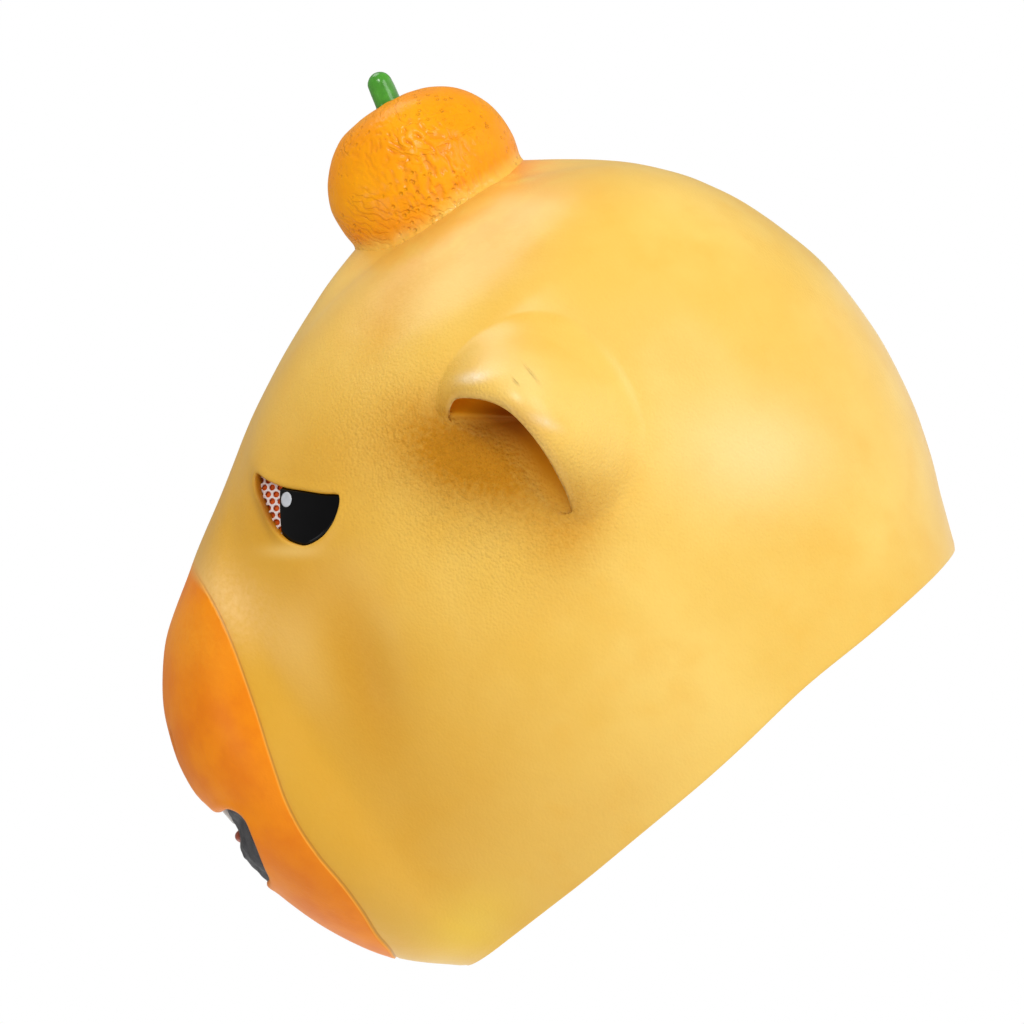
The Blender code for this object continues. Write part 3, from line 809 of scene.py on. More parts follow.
def finished(obj, paint, slot, *nodes):
    """Gives an object its paint, its body and the CAD nodes that it stands for; slot is not used."""
    if obj.name not in bpy.context.scene.collection.objects:
        bpy.context.scene.collection.objects.link(obj)
    if not obj.data.materials:
        obj.data.materials.append(paint.material)
    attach(obj, "root")
    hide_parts(*nodes)
    return obj


def put(tree, socket, value):
    """Links a socket to a level, an output or a node's first output, or sets it to a plain value."""
    if isinstance(value, Level):
        value = value.socket
    if isinstance(value, bpy.types.Node):
        value = value.outputs[0]
    if isinstance(value, bpy.types.NodeSocket):
        tree.links.new(value, socket)
    else:
        socket.default_value = value


def add_node(tree, kind, settings, sockets):
    """Adds a node with its settings and the values or links of its sockets."""
    made = tree.nodes.new(kind)
    for key, value in settings.items():
        setattr(made, key, value)
    for key, value in sockets.items():
        put(tree, made.inputs[key], value)
    return made


class Level:
    """A number that varies over a surface. Expressions on it add Math nodes."""

    def __init__(self, paint, socket):
        self.paint = paint
        self.socket = socket

    def math(self, operation, *values):
        sockets = dict(enumerate(values))
        return Level(self.paint, self.paint.node("ShaderNodeMath", {"operation": operation}, sockets))

    def __add__(self, other):
        return self.math("ADD", self, other)

    def __radd__(self, other):
        return self.math("ADD", other, self)

    def __sub__(self, other):
        return self.math("SUBTRACT", self, other)

    def __rsub__(self, other):
        return self.math("SUBTRACT", other, self)

    def __mul__(self, other):
        return self.math("MULTIPLY", self, other)

    def __rmul__(self, other):
        return self.math("MULTIPLY", other, self)

    def __truediv__(self, other):
        return self.math("DIVIDE", self, other)

    def __pow__(self, other):
        return self.math("POWER", self, other)

    def __neg__(self):
        return self.math("MULTIPLY", self, -1)

    def falloff(self):
        """1 where the number is 0, and down to 0 as it grows."""
        return self.math("EXPONENT", -self)

    def size(self):
        return self.math("ABSOLUTE", self)

    def between(self, low, high):
        """Goes from 0 at low to 1 at high with no corners."""
        settings = {"interpolation_type": "SMOOTHSTEP"}
        sockets = {"Value": self, "From Min": low, "From Max": high}
        return Level(self.paint, self.paint.node("ShaderNodeMapRange", settings, sockets))

    def held(self):
        return self.math("MINIMUM", self.math("MAXIMUM", self, 0.0), 1.0)


class Paint:
    """A material and its nodes."""

    def __init__(self, name, roughness, **sockets):
        self.material = bpy.data.materials.new(name)
        self.material.use_nodes = True
        self.tree = self.material.node_tree
        self.shader = self.tree.nodes["Principled BSDF"]
        self.set("Roughness", roughness)
        for key, value in sockets.items():
            self.set(key.replace("_", " "), value)
        coordinates = self.tree.nodes.new("ShaderNodeTexCoord")
        self.place = coordinates.outputs["Object"]
        apart = self.tree.nodes.new("ShaderNodeSeparateXYZ")
        self.tree.links.new(self.place, apart.inputs[0])
        self.x, self.y, self.z = (Level(self, socket) for socket in apart.outputs)

    def set(self, name, value):
        """Sets or links one of the shader's sockets."""
        put(self.tree, self.shader.inputs[name], value)

    def node(self, kind, settings, sockets, output=0):
        """Adds a node and gives one of its outputs."""
        return add_node(self.tree, kind, settings, sockets).outputs[output]

    def mix(self, amount, first, second):
        """Goes from the first colour to the second."""
        settings = {"data_type": "RGBA"}
        colours = {6: first, 7: second}
        colours = {k: (*v, 1) if isinstance(v, tuple) else v for k, v in colours.items()}
        return self.node("ShaderNodeMix", settings, {0: amount, **colours}, 2)

    def noise(self, scale, detail, turn=(0, 0, 0)):
        """Noise from 0 to 1 with the given scale per metre."""
        place = self.node("ShaderNodeMapping", {}, {"Vector": self.place, "Rotation": turn})
        sockets = {"Vector": place, "Scale": scale, "Detail": detail}
        return Level(self, self.node("ShaderNodeTexNoise", {}, sockets))

    def cells(self, scale):
        """Distance to the middle of the nearest cell, in shares of the cell."""
        sockets = {"Vector": self.place, "Scale": scale}
        return Level(self, self.node("ShaderNodeTexVoronoi", {"feature": "F1"}, sockets))

    def spot(self, y, z, reach_y, reach_z, turn):
        """1 at a place on either side of the head, fading out over its reach; in millimetres."""
        c, s = math.cos(math.radians(turn)), math.sin(math.radians(turn))
        a = ((self.y * 1000 - y) * c + (self.z * 1000 - z) * s) / reach_y
        b = ((self.z * 1000 - z) * c - (self.y * 1000 - y) * s) / reach_z
        return (a * a + b * b).falloff()

    def spots(self, name):
        """All the spots of one kind in SPRAYED, added up."""
        return sum(self.spot(*place) * weight for *place, weight in SPRAYED[name][1:])

    def sprayed(self, ground, name, share=1.0):
        """The ground with spots of one kind sprayed over it, as strongly as share says."""
        return self.mix((self.spots(name) * share).held(), ground, SPRAYED[name][0])

    def attribute(self, name):
        settings = {"attribute_type": "GEOMETRY", "attribute_name": name}
        return Level(self, self.node("ShaderNodeAttribute", settings, {}, 2))

    def bump(self, height, distance, strength=1.0):
        """Raises the surface by height times distance."""
        sockets = {"Strength": strength, "Distance": distance, "Height": height}
        self.set("Normal", self.node("ShaderNodeBump", {}, sockets))


# Spots on the head's paint and relief: their colour, then y, z, reach along and across, turn and
# weight of each, in millimetres and degrees
SPRAYED = {
    # Partly the mask's airbrushed brown, partly painted shade where the head lies in less light
    "shade": (
        (0.60, 0.245, 0.006),
        (3, 173, 20, 27, 10, 1.0),
        (-30, 200, 30, 22, -30, 0.30),
        (18, 150, 16, 26, -8, 0.65),
        (24, 118, 24, 16, 20, 0.55),
        (-84, 130, 14, 40, -22, 0.40),
        (-78, 204, 16, 18, 30, 0.25),
        (28, 240, 34, 14, 22, 0.42),
        (78, 218, 24, 14, 0, 0.12),
        (2, 200, 17, 14, 0, 0.18),
        (-84, 176, 13, 11, 0, 0.18),
        (-38, 18, 40, 18, 0, 0.14),
    ),
    # Painted shade in the recess at the front corner of the eye
    "painted eye-corner shade": ((0.27, 0.105, 0.004), (-71, 210, 3.2, 13, -20, 0.85)),
    # Painted highlights under the lower lid and on the cheek
    "painted cheek highlights": (
        (0.93, 0.60, 0.17),
        (-75, 187, 12, 3, -40, 0.6),
        (-100, 150, 10, 26, -20, 0.20),
    ),
    # Speckled painted highlight beside the top of the muzzle
    "painted pink highlight": ((0.97, 0.62, 0.24), (-111, 190, 14, 22, 10, 0.65)),
    # Painted light low on the front of the neck, which faces away from the lamps
    "painted throat light": ((1.0, 0.68, 0.06), (-124, 14, 24, 15, 0, 0.5)),
    # Painted highlights on the side of the head and on the ear's hood
    "painted side highlights": ((0.98, 0.77, 0.36), (101, 92, 34, 24, -40, 0.52), (46, 176, 10, 14, 0, 0.30)),
    # Painted highlights on the ear's front lobe and its rim
    "painted ear highlights": ((1.0, 0.80, 0.52), (31, 191, 6, 2.4, -35, 0.8), (41, 158, 2.2, 6, 25, 0.45)),
    # Painted shade deep in the ear's bowl and on the front wall of the eye
    "painted deep shade": (
        (0.24, 0.055, 0.0005),
        (30, 170, 15, 12, -20, 1.0),
        (34, 150, 8, 16, 0, 0.35),
        (-72, 208, 9, 24, -32, 1.5),
    ),
    # Painted shadow on the skin under the ear's hood
    "painted shadow beneath hood": ((0.36, 0.125, 0.002), (23, 171, 15, 8, -40, 0.62)),
    "below the fruit": (
        (0.92, 0.30, 0.015),
        (72, 250, 44, 22, -25, 0.45),
        (106, 256, 16, 12, -30, 1.0),
    ),
    "nose sheen": ((0.98, 0.37, 0.02), (-134, 190, 15, 24, 20, 0.6)),
    # Painted shade on the underside of the muzzle
    "painted jaw shade": ((0.70, 0.16, 0.0003), (-162, 74, 18, 18, 0, 0.35)),
    "lips": ((0.86, 0.28, 0.03), (-178, 84, 9, 14, 0, 0.45)),
    "pebbled": (
        None,
        (-4, 172, 32, 46, 0, 1.7),
        (20, 128, 45, 30, 0, 0.6),
        (96, 88, 45, 50, 0, 0.35),
    ),
    "scratches": (None, (50, 176.5, 0.45, 5.5, -3, 1.0), (42.6, 178.3, 0.4, 2.4, 0, 1.0)),
}


def skin_paint():
    """Yellow latex with airbrushed brown, painted shade and painted highlights, an orange muzzle and a
    pebbled surface.
    """
    paint = Paint("latex_yellow_paint", 0.5, Specular_IOR_Level=0.12, Subsurface_Weight=0.03)
    paint.set("Subsurface Radius", (0.010, 0.005, 0.002))
    paint.set("Subsurface Scale", 1.0)
    paint.set("Coat Roughness", 0.34)
    edge = paint.attribute("behind_muzzle_edge")
    inside = paint.attribute("inside")
    hollow = paint.attribute("hollow")
    cavity = hollow.held()
    painted_rim_highlight = (-hollow).held()
    clouds = paint.noise(14, 4)
    patches = paint.noise(38, 3)
    grain = paint.noise(420, 2)

    yellow = paint.mix(clouds.between(0.35, 0.68), (0.87, 0.535, 0.085), (0.93, 0.61, 0.125))
    yellow = paint.mix(patches.between(0.45, 0.75) * 0.38, yellow, (0.86, 0.46, 0.045))
    # Painted shade: the front of the head darker towards the face, less so low down
    front = 1 - (paint.y * 1000 + patches * 40).between(-95, 55)
    front = front * (0.55 + paint.z.between(0.0, 0.07) * 0.45)
    yellow = paint.mix(front * 0.75, yellow, (0.70, 0.335, 0.009))
    # Partly airbrushed brown, partly painted shade
    shade = paint.spots("shade") * (0.7 + grain * 0.6)
    yellow = paint.mix(shade.held(), yellow, SPRAYED["shade"][0])
    # Painted shade in the front corner of the eye
    yellow = paint.sprayed(yellow, "painted eye-corner shade")
    # Painted highlights under the lower lid and on the cheek
    yellow = paint.sprayed(yellow, "painted cheek highlights")
    # Speckled painted highlight beside the top of the muzzle
    yellow = paint.sprayed(yellow, "painted pink highlight", 0.35 + grain * 1.1)
    # Painted light low on the front of the neck
    yellow = paint.sprayed(yellow, "painted throat light")
    # Painted highlights on the side of the head and on the ear's hood
    yellow = paint.sprayed(yellow, "painted side highlights")
    # Painted highlight along the ear's rim
    yellow = paint.mix(painted_rim_highlight * 0.6, yellow, (0.95, 0.62, 0.22))
    # Painted highlights on the ear's front lobe and rim, not in its bowl
    yellow = paint.sprayed(yellow, "painted ear highlights", (0.4 + grain) * (1 - cavity))
    # Painted shade: darker orange deeper in the ear's bowl and on the walls of the lids
    yellow = paint.mix((cavity * 1.1).held(), yellow, (0.86, 0.35, 0.006))
    # Painted shade deep in the ear's bowl and on the eye's front wall
    yellow = paint.sprayed(yellow, "painted deep shade", cavity)
    # Painted shadow under the ear's hood
    yellow = paint.sprayed(yellow, "painted shadow beneath hood")
    yellow = paint.sprayed(yellow, "below the fruit", paint.noise(70, 3).between(0.2, 0.6) * 0.75)

    mottle = paint.noise(60, 4)
    orange = paint.mix(mottle.between(0.3, 0.7), (0.86, 0.215, 0.0004), (0.94, 0.27, 0.0008))
    orange = paint.sprayed(orange, "nose sheen", 0.4 + grain)
    # Painted shade on the underside of the muzzle
    orange = paint.sprayed(orange, "painted jaw shade")
    orange = paint.sprayed(orange, "lips")
    aside = (paint.x.size() * 1000 - NOSTRIL[0]) / 7
    nostril = (aside * aside + ((paint.z * 1000 - NOSTRIL[1]) / 4) ** 2).falloff()
    orange = paint.mix((nostril * 0.75).held(), orange, (0.30, 0.055, 0.002))
    soft_end = (paint.z * 1000).between(190, 212)
    line = 1 - (edge / (1 + soft_end * 34)).between(-0.15, 0.10)
    colour = paint.mix(line, yellow, orange)
    # Painted shadow in the groove behind the muzzle's edge
    crease = 1 - (edge - 0.35).size().between(0.1, 0.6)
    colour = paint.mix(crease * (1 - soft_end) * 0.6, colour, (0.45, 0.16, 0.012))
    # Painted highlight along the muzzle's raised edge
    rise = 1 - (edge + 0.30).size().between(0.05, 0.35)
    colour = paint.mix(rise * (1 - soft_end) * 0.6, colour, (0.96, 0.46, 0.06))
    colour = paint.mix(inside, colour, (0.86, 0.70, 0.42))
    paint.set("Base Color", colour)
    paint.set("Roughness", 0.48 + patches * 0.14 + inside * 0.2)
    smooth = (1 - shade.held() * 0.9) * (1 - cavity) * (1 - inside * 0.7)
    smooth = smooth * (1 - line * 0.6) * (1 - front * 0.35)
    paint.set("Coat Weight", smooth * (0.45 + clouds * 0.5) + painted_rim_highlight * 0.25)
    pebbles = (paint.noise(900, 2) * 0.5 - paint.cells(760) * 0.9) * (0.16 + paint.spots("pebbled"))
    relief = pebbles * (1 - cavity) + paint.noise(160, 3) * 0.5 - paint.spots("scratches") * 1.4
    paint.bump(relief, 0.00055)
    return paint


def mandarin_paint():
    """Orange peel with a pale lower rim."""
    paint = Paint("mandarin_peel_paint", 0.5, Specular_IOR_Level=0.08, Subsurface_Weight=0.02)
    paint.set("Subsurface Radius", (0.008, 0.003, 0.001))
    paint.set("Subsurface Scale", 1.0)
    paint.set("Coat Roughness", 0.21)
    low = paint.attribute("height_on_skin")
    clouds = paint.noise(40, 4)
    orange = paint.mix(clouds.between(0.3, 0.7), (0.93, 0.31, 0.0008), (0.97, 0.375, 0.0015))
    relief = paint.attribute("peel")
    # Painted shade in the peel's pits and wrinkles
    orange = paint.mix((-relief * 1.1).held() * 0.30, orange, (0.74, 0.17, 0.0005))
    worn = (1 - (low + paint.noise(120, 3) * 7).between(2.5, 11.0)) * 0.75
    orange = paint.mix(worn, orange, (0.97, 0.60, 0.11))
    paint.set("Base Color", orange)
    paint.set("Roughness", 0.46 + clouds * 0.14)
    paint.set("Coat Weight", 0.07 + clouds * 0.25 + (relief.size() * 0.5).held())
    where = paint.noise(42, 1).between(0.50, 0.62)
    bands = {"wave_type": "BANDS", "bands_direction": "DIAGONAL"}
    waves = {"Vector": paint.place, "Scale": 118, "Distortion": 7, "Detail": 1.0, "Detail Scale": 1.5}
    folds = Level(paint, paint.node("ShaderNodeTexWave", bands, waves, 1)).between(0.45, 1.0)
    pitted = paint.noise(30, 1, turn=(1.0, 0.4, 0.2)).between(0.46, 0.58)
    pits = 1 - paint.cells(300).between(0.05, 0.34)
    paint.bump(paint.noise(700, 3) * 0.3 - folds * where * 0.5 - pits * pitted * 1.2, 0.0006)
    return paint


def plain_paint(name, colour, roughness, spread, bump, scale=300, **sockets):
    """One colour with small changes over the surface and a little relief."""
    paint = Paint(name, roughness, **sockets)
    amount = paint.noise(scale, 3)
    darker = tuple(c * spread for c in colour)
    paint.set("Base Color", paint.mix(amount.between(0.3, 0.7), darker, colour))
    paint.bump(paint.noise(scale * 2, 2), bump)
    return paint


def peel_marks(p):
    """Depth of the peel's pores and short wrinkles, in millimetres; p is in shares of the radius."""
    bend = p + Vector((noise.noise(p * 3.1), noise.noise(p * 3.1 + Vector((5, 0, 0))), 0)) * 0.14
    strokes = noise.noise(Vector((bend.x * 21, bend.y * 21, bend.z * 11)))
    wrinkled = bell(p.y + 0.35 * p.z, 0.10, 0.50) * smooth_step(0.75, 0.35, abs(p.z + 0.05))
    pitted = 0.30 + bell(p.y, -0.62, 0.36) * bell(p.z, -0.05, 0.45)
    pores = noise.voronoi(p * 11)[0][0]
    pits = noise.voronoi(p * 6.5 + Vector((9, 9, 9)))[0][0]
    marks = -0.30 * pitted * (1 - smooth_step(0.08, 0.30, pores))
    marks -= 0.35 * pitted * (1 - smooth_step(0.05, 0.16, pits))
    return marks - 0.95 * smooth_step(0.02, 0.36, strokes) * wrinkled


def fruit_lumps(p):
    """Height of the fruit's lumps and hollows, in millimetres; p is in shares of the radius."""
    lumps = 0.8 * noise.noise(p * 1.3) + 0.30 * noise.noise(p * 4.5)
    lumps += 1.4 * bell(p.y, -1.0, 0.25) * bell(p.z, -0.1, 0.4)
    if p.z > 0:
        across = math.hypot(p.x, p.y)
        ribs = 0.5 + 0.5 * math.sin(9 * math.atan2(p.y, p.x) + 3 * noise.noise(p * 2))
        lumps -= 2.4 * bell(p.y, -0.38, 0.33) * bell(p.x, 0, 0.8)
        lumps -= 1.2 * bell(across, 0, 0.17) + 0.5 * ribs * bell(across, 0.24, 0.10)
    return lumps * 0.7


def seat_on_skin(bm):
    """Fits the base of the fruit to the skin and notes how high each point lies above it."""
    low = bm.verts.layers.float.new("height_on_skin")
    for vertex in bm.verts:
        nearest, normal, _, _ = OUTSIDE.find_nearest(vertex.co)
        off = vertex.co - nearest
        height = max(off.dot(normal), -MANDARIN_SUNK)
        vertex[low] = height * 1000
        away = vertex.co - MANDARIN_PLACE.translation
        away = (away - normal * away.dot(normal)).normalized()
        flare = MANDARIN_FLARE * math.exp(-max(height, 0) / MANDARIN_FLARE_HEIGHT)
        fall = soft_form(nearest, 1.0) * (1 - smooth_step(0.0, 0.040, height))
        beside = off - normal * off.dot(normal)
        vertex.co = nearest + beside + normal * (height + fall) + away * flare


def mandarin():
    """The fruit on the crown, with pores, short wrinkles and a base that fits the skin."""
    profile = spline_through(
        np.arange(len(MANDARIN_PROFILE), dtype=float),
        np.array(MANDARIN_PROFILE) * MANDARIN_RADIUS,
        np.linspace(0, len(MANDARIN_PROFILE) - 1, MANDARIN_RINGS),
    )
    bm = bmesh.new()
    rings = turned_rings([(max(radius, 1e-4), height) for radius, height in profile[1:-1]], MANDARIN_STEPS)
    first = add_rings(bm, rings, (0, 0, profile[-1][1]))[0]
    top = bm.verts.new((0, 0, profile[0][1]))
    for i in range(MANDARIN_STEPS):
        bm.faces.new((first[(i + 1) % MANDARIN_STEPS], first[i], top))
    bmesh.ops.recalc_face_normals(bm, faces=bm.faces)
    bm.normal_update()
    peel = bm.verts.layers.float.new("peel")
    moves = []
    for vertex in bm.verts:
        place = vertex.co / MANDARIN_RADIUS
        vertex[peel] = marks = peel_marks(place)
        moves.append(vertex.normal * (marks + fruit_lumps(place)) / 1000)
    for vertex, move in zip(bm.verts, moves):
        vertex.co += move
    bm.transform(MANDARIN_PLACE)
    seat_on_skin(bm)
    return piece("mandarin_fruit", bm, MANDARIN_PAINT, "mandarin_orange", "mandarin")


def stalk():
    """The green stub on the mandarin."""
    foot = max(height for radius, height in MANDARIN_PROFILE) * MANDARIN_RADIUS
    bend = foot + STALK_LENGTH - STALK_RADIUS
    profile = [(STALK_RADIUS * share, foot + height) for share, height in STALK_FOOT]
    for step in range(9):
        turn = math.pi / 2 * step / 9
        profile.append((STALK_RADIUS * math.cos(turn), bend + STALK_RADIUS * math.sin(turn)))
    bm = bmesh.new()
    made = add_rings(bm, turned_rings(profile, STALK_STEPS), (0, 0, bend + STALK_RADIUS))
    bm.faces.new(made[0][::-1])
    bmesh.ops.recalc_face_normals(bm, faces=bm.faces)
    for vertex in bm.verts:
        outwards = Vector((vertex.co.x, vertex.co.y, 0)).normalized()
        vertex.co += outwards * noise.noise(vertex.co * 220) * 0.0002
    bm.transform(STALK_ASIDE @ MANDARIN_PLACE)
    return piece("mandarin_stub", bm, STALK_PAINT, "stalk_green", "mandarin_stalk")


def clipped(points, start, end, side, clearance):
    """The part of a flat outline on one side of the line from start to end."""
    along = (end - start).normalized()
    across = Vector((-along.y, along.x)) * side
    heights = [(p - start).dot(across) - clearance for p in points]
    kept = []
    for i, point in enumerate(points):
        j = (i + 1) % len(points)
        if heights[i] >= 0:
            kept.append(point)
        if (heights[i] >= 0) != (heights[j] >= 0):
            kept.append(point.lerp(points[j], heights[i] / (heights[i] - heights[j])))
    return kept


def sheet_on(chart, outline, depth, thick, rings):
    """A closed thin plate filling an outline; depth(a, b, share) gives the place of its front."""
    bm = bmesh.new()
    middle = outline.mean(axis=0)
    fronts, backs = [], []
    for step in range(1, rings + 1):
        share = step / rings
        ring = middle + (outline - middle) * share
        points = [depth(a, b, share) for a, b in ring]
        fronts.append(points)
        backs.append([p - chart.out * thick for p in points])
    tip = depth(*middle, 0.0)
    front = add_rings(bm, fronts[::-1], tip)
    back = add_rings(bm, backs[::-1], tip - chart.out * thick)
    join_rings(bm, front[0], back[0])
    bmesh.ops.recalc_face_normals(bm, faces=bm.faces)
    return bm


def on_both_sides(make, paint, slot, name, node):
    """The left piece and its mirror image on the right."""
    for side, flip in (("left", None), ("right", FLIP)):
        bm = make()
        if flip:
            bm.transform(flip)
            bmesh.ops.reverse_faces(bm, faces=bm.faces)
        piece(f"{name}_{side}", bm, paint, slot, f"{node}_{side}")


def black_eye():
    """The glossy domed eye behind the lids, with its raised glint."""
    outline = evenly(clipped(eye_outline(DOME_MARGIN), *EYE_NET_LINE, 1, 0.0), 120, closed=True)
    lids = closed_curve(eye_drawing(EYE_OUTLINE), 500)

    def depth(a, b, share):
        inside = EYE.on(INSIDE, a, b)
        plate = (EYE.inverse @ inside).z - 0.0003
        across = min((a * a + b * b) / DOME_RADIUS**2, 0.98)
        dome = -DOME_RECESS - DOME_RISE * (1 - math.sqrt(1 - across))
        low = 1 - smooth_step(0.0, 0.0009, within(a, b, lids))
        return EYE.place @ Vector((a, b, dome * (1 - low) + min(plate, dome) * low))

    bm = sheet_on(EYE, outline, depth, 0.0012, 26)
    middle = EYE.flat(Vector(GLINT_PLACE))
    rings = []
    for share, rise in GLINT_RINGS:
        ring = []
        for step in range(32):
            turn = step * math.pi / 16
            a = middle.x + GLINT_SIZE[0] * share * math.cos(turn)
            b = middle.y + GLINT_SIZE[1] * share * math.sin(turn)
            ring.append(depth(a, b, 0.0) + EYE.out * rise)
        rings.append(ring)
    before = len(bm.faces)
    made = add_rings(bm, rings, depth(*middle, 0.0) + EYE.out * GLINT_TOP)
    bm.faces.new(made[0][::-1])
    bm.faces.ensure_lookup_table()
    glint = bm.faces[before:]
    bmesh.ops.recalc_face_normals(bm, faces=glint)
    for face in glint:
        face.material_index = 1
    return bm


def below_skin(depth):
    """Function for sheet_on: places a sheet that far below the inside of the skin."""
    return lambda a, b, share: EYE.on(INSIDE, a, b) - EYE.out * depth


def eye_backing():
    """The orange-red gauze behind the net."""
    outline = evenly(clipped(eye_outline(NET_MARGIN), *EYE_NET_LINE, -1, -0.0015), 60, closed=True)
    return sheet_on(EYE, outline, below_skin(0.0014), 0.0006, 10)


def net_tree():
    """Nodes that lay an openwork net of rounded six-sided holes over a sheet, along Z."""
    tree = bpy.data.node_groups.new("openwork_net", "GeometryNodeTree")
    face = tree.interface
    face.new_socket("Sheet", in_out="INPUT", socket_type="NodeSocketGeometry")
    for name, size in (("Pitch", NET_PITCH), ("Strand", NET_STRAND), ("Reach", 0.10)):
        socket = face.new_socket(name, in_out="INPUT", socket_type="NodeSocketFloat")
        socket.default_value = size
    face.new_socket("Material", in_out="INPUT", socket_type="NodeSocketMaterial")
    face.new_socket("Net", in_out="OUTPUT", socket_type="NodeSocketGeometry")

    def node(kind, *sockets, **named):
        """Adds a node; small letters set the node, capitals its sockets, with _ for a space."""
        settings = {key: value for key, value in named.items() if key[0].islower()}
        values = {key.replace("_", " "): value for key, value in named.items() if key[0].isupper()}
        return add_node(tree, "GeometryNode" + kind, settings, {**dict(enumerate(sockets)), **values})

    def figure(operation, *values):
        return add_node(tree, "ShaderNodeMath", {"operation": operation}, dict(enumerate(values)))

    given = add_node(tree, "NodeGroupInput", {}, {})
    pitch, strand, reach = (given.outputs[k] for k in ("Pitch", "Strand", "Reach"))
    steps = figure("FLOOR", figure("DIVIDE", reach, pitch))
    count = figure("ADD", steps, 1.0)
    across = figure("MULTIPLY", steps, pitch)
    up = figure("MULTIPLY", steps, figure("MULTIPLY", pitch, math.sqrt(3) / 2))
    grid = node("MeshGrid", Size_X=across, Size_Y=up, Vertices_X=count, Vertices_Y=count)
    apart = add_node(tree, "ShaderNodeSeparateXYZ", {}, {0: node("InputPosition")})
    lean = figure("MULTIPLY", apart.outputs["Y"], 1 / math.sqrt(3))
    shift = add_node(tree, "ShaderNodeCombineXYZ", {}, {"X": lean})
    combs = node("DualMesh", node("Triangulate", node("SetPosition", grid, Offset=shift)))
    raised = node("ExtrudeMesh", combs, mode="FACES", Offset_Scale=0.0, Individual=True)
    tops = raised.outputs["Top"]
    open_share = figure("DIVIDE", figure("SUBTRACT", pitch, strand), pitch)
    scaled = node("ScaleElements", raised, domain="FACE", Selection=tops, Scale=open_share)
    holes = node("DeleteGeometry", scaled, domain="FACE", Selection=tops)
    rounded = node("SubdivisionSurface", holes, Level=2)
    first_turn, along, aside, last_turn = NET_DRAWN
    turned = node("Transform", rounded, Rotation=(0, 0, math.radians(first_turn)))
    last_turn = (0, 0, math.radians(last_turn))
    drawn = node("Transform", turned, Scale=(along, aside, 1.0), Rotation=last_turn)
    above = {0: node("InputPosition"), 1: (0, 0, 0.1)}
    start = add_node(tree, "ShaderNodeVectorMath", {"operation": "ADD"}, above)
    cast = node("Raycast", given, Source_Position=start, Ray_Direction=(0, 0, -1), Ray_Length=0.3)
    hit = cast.outputs["Is Hit"]
    laid = node("SetPosition", drawn, Selection=hit, Position=cast.outputs["Hit Position"])
    missed = add_node(tree, "FunctionNodeBooleanMath", {"operation": "NOT"}, {0: hit})
    kept = node("DeleteGeometry", laid, domain="POINT", Selection=missed)
    painted = node("SetMaterial", node("RealizeInstances", kept), Material=given.outputs["Material"])
    add_node(tree, "NodeGroupOutput", {}, {0: painted})
    return tree


def eye_net():
    """The white openwork net in the front corner of the left eye."""
    outline = evenly(clipped(eye_outline(NET_MARGIN), *EYE_NET_LINE, -1, -0.0012), 60, closed=True)
    bed = sheet_on(EYE, outline, below_skin(0.0006), 0.0002, 10)
    bed.transform(EYE.inverse)
    mesh = bpy.data.meshes.new("net_bed")
    bed.to_mesh(mesh)
    bed.free()
    obj = bpy.data.objects.new("net_bed", mesh)
    bpy.context.scene.collection.objects.link(obj)
    tree = net_tree()
    lay = obj.modifiers.new("net", "NODES")
    lay.node_group = tree
    sockets = {s.name: s.identifier for s in tree.interface.items_tree if s.in_out == "INPUT"}
    lay[sockets["Pitch"]] = NET_PITCH
    lay[sockets["Strand"]] = NET_STRAND
    lay[sockets["Material"]] = NET_PAINT.material
    wall = obj.modifiers.new("thickness", "SOLIDIFY")
    wall.thickness = NET_THICK
    wall.offset = 0
    made = bpy.data.meshes.new_from_object(obj.evaluated_get(bpy.context.evaluated_depsgraph_get()))
    bm = bmesh.new()
    bm.from_mesh(made)
    bpy.data.objects.remove(obj)
    bm.transform(EYE.place)
    return bm


def mouth_lining():
    """The dark crumpled lining behind the lips."""
    outline = evenly(grown(MOUTH_LINE, 0.006), 160, closed=True)

    def depth(a, b, share):
        point = MOUTH.on(INSIDE, a, b)
        folds = noise.noise(Vector((a * 60, b * 110, 1.0)))
        folds += 0.25 * noise.noise(Vector((a * 140, b * 260, 4.0)))
        free = 1 - smooth_step(0.78, 0.92, share)
        deep = 0.0018 - 0.0026 * folds * free - 0.0024 * smooth_step(0.004, -0.012, b) * free
        deep -= 0.0022 * bell(b, -0.002, 0.007) * free
        return point + MOUTH.out * (lip_dip(point) / 1000 - max(deep, -0.0026))

    bm = sheet_on(MOUTH, outline, depth, 0.0012, 40)
    return piece("mouth_lining_sheet", bm, LINING_PAINT, "lining_dark", "mouth_lining")


def rounded_block(size, place, lean=0.0):
    """A soft-edged block of the given size with its middle at place."""
    bm = bmesh.new()
    bmesh.ops.create_cube(bm, size=1)
    bmesh.ops.bevel(bm, geom=bm.edges[:], offset=0.22, segments=4, profile=0.5, affect="EDGES")
    turn = Matrix.Rotation(lean, 4, "Y")
    bm.transform(Matrix.Translation(place) @ turn @ Matrix.Diagonal((*size, 1)))
    return bm


def tooth():
    """The left upper incisor."""
    front = MOUTH.on(OUTSIDE, 0.0047, MOUTH_HEIGHT / 2 - 0.003)
    back = MOUTH.out * (lip_dip(front) / 1000)
    return rounded_block((0.0086, 0.0032, 0.0096), front + back + Vector((0, 0.0018, -0.0006)), 0.03)


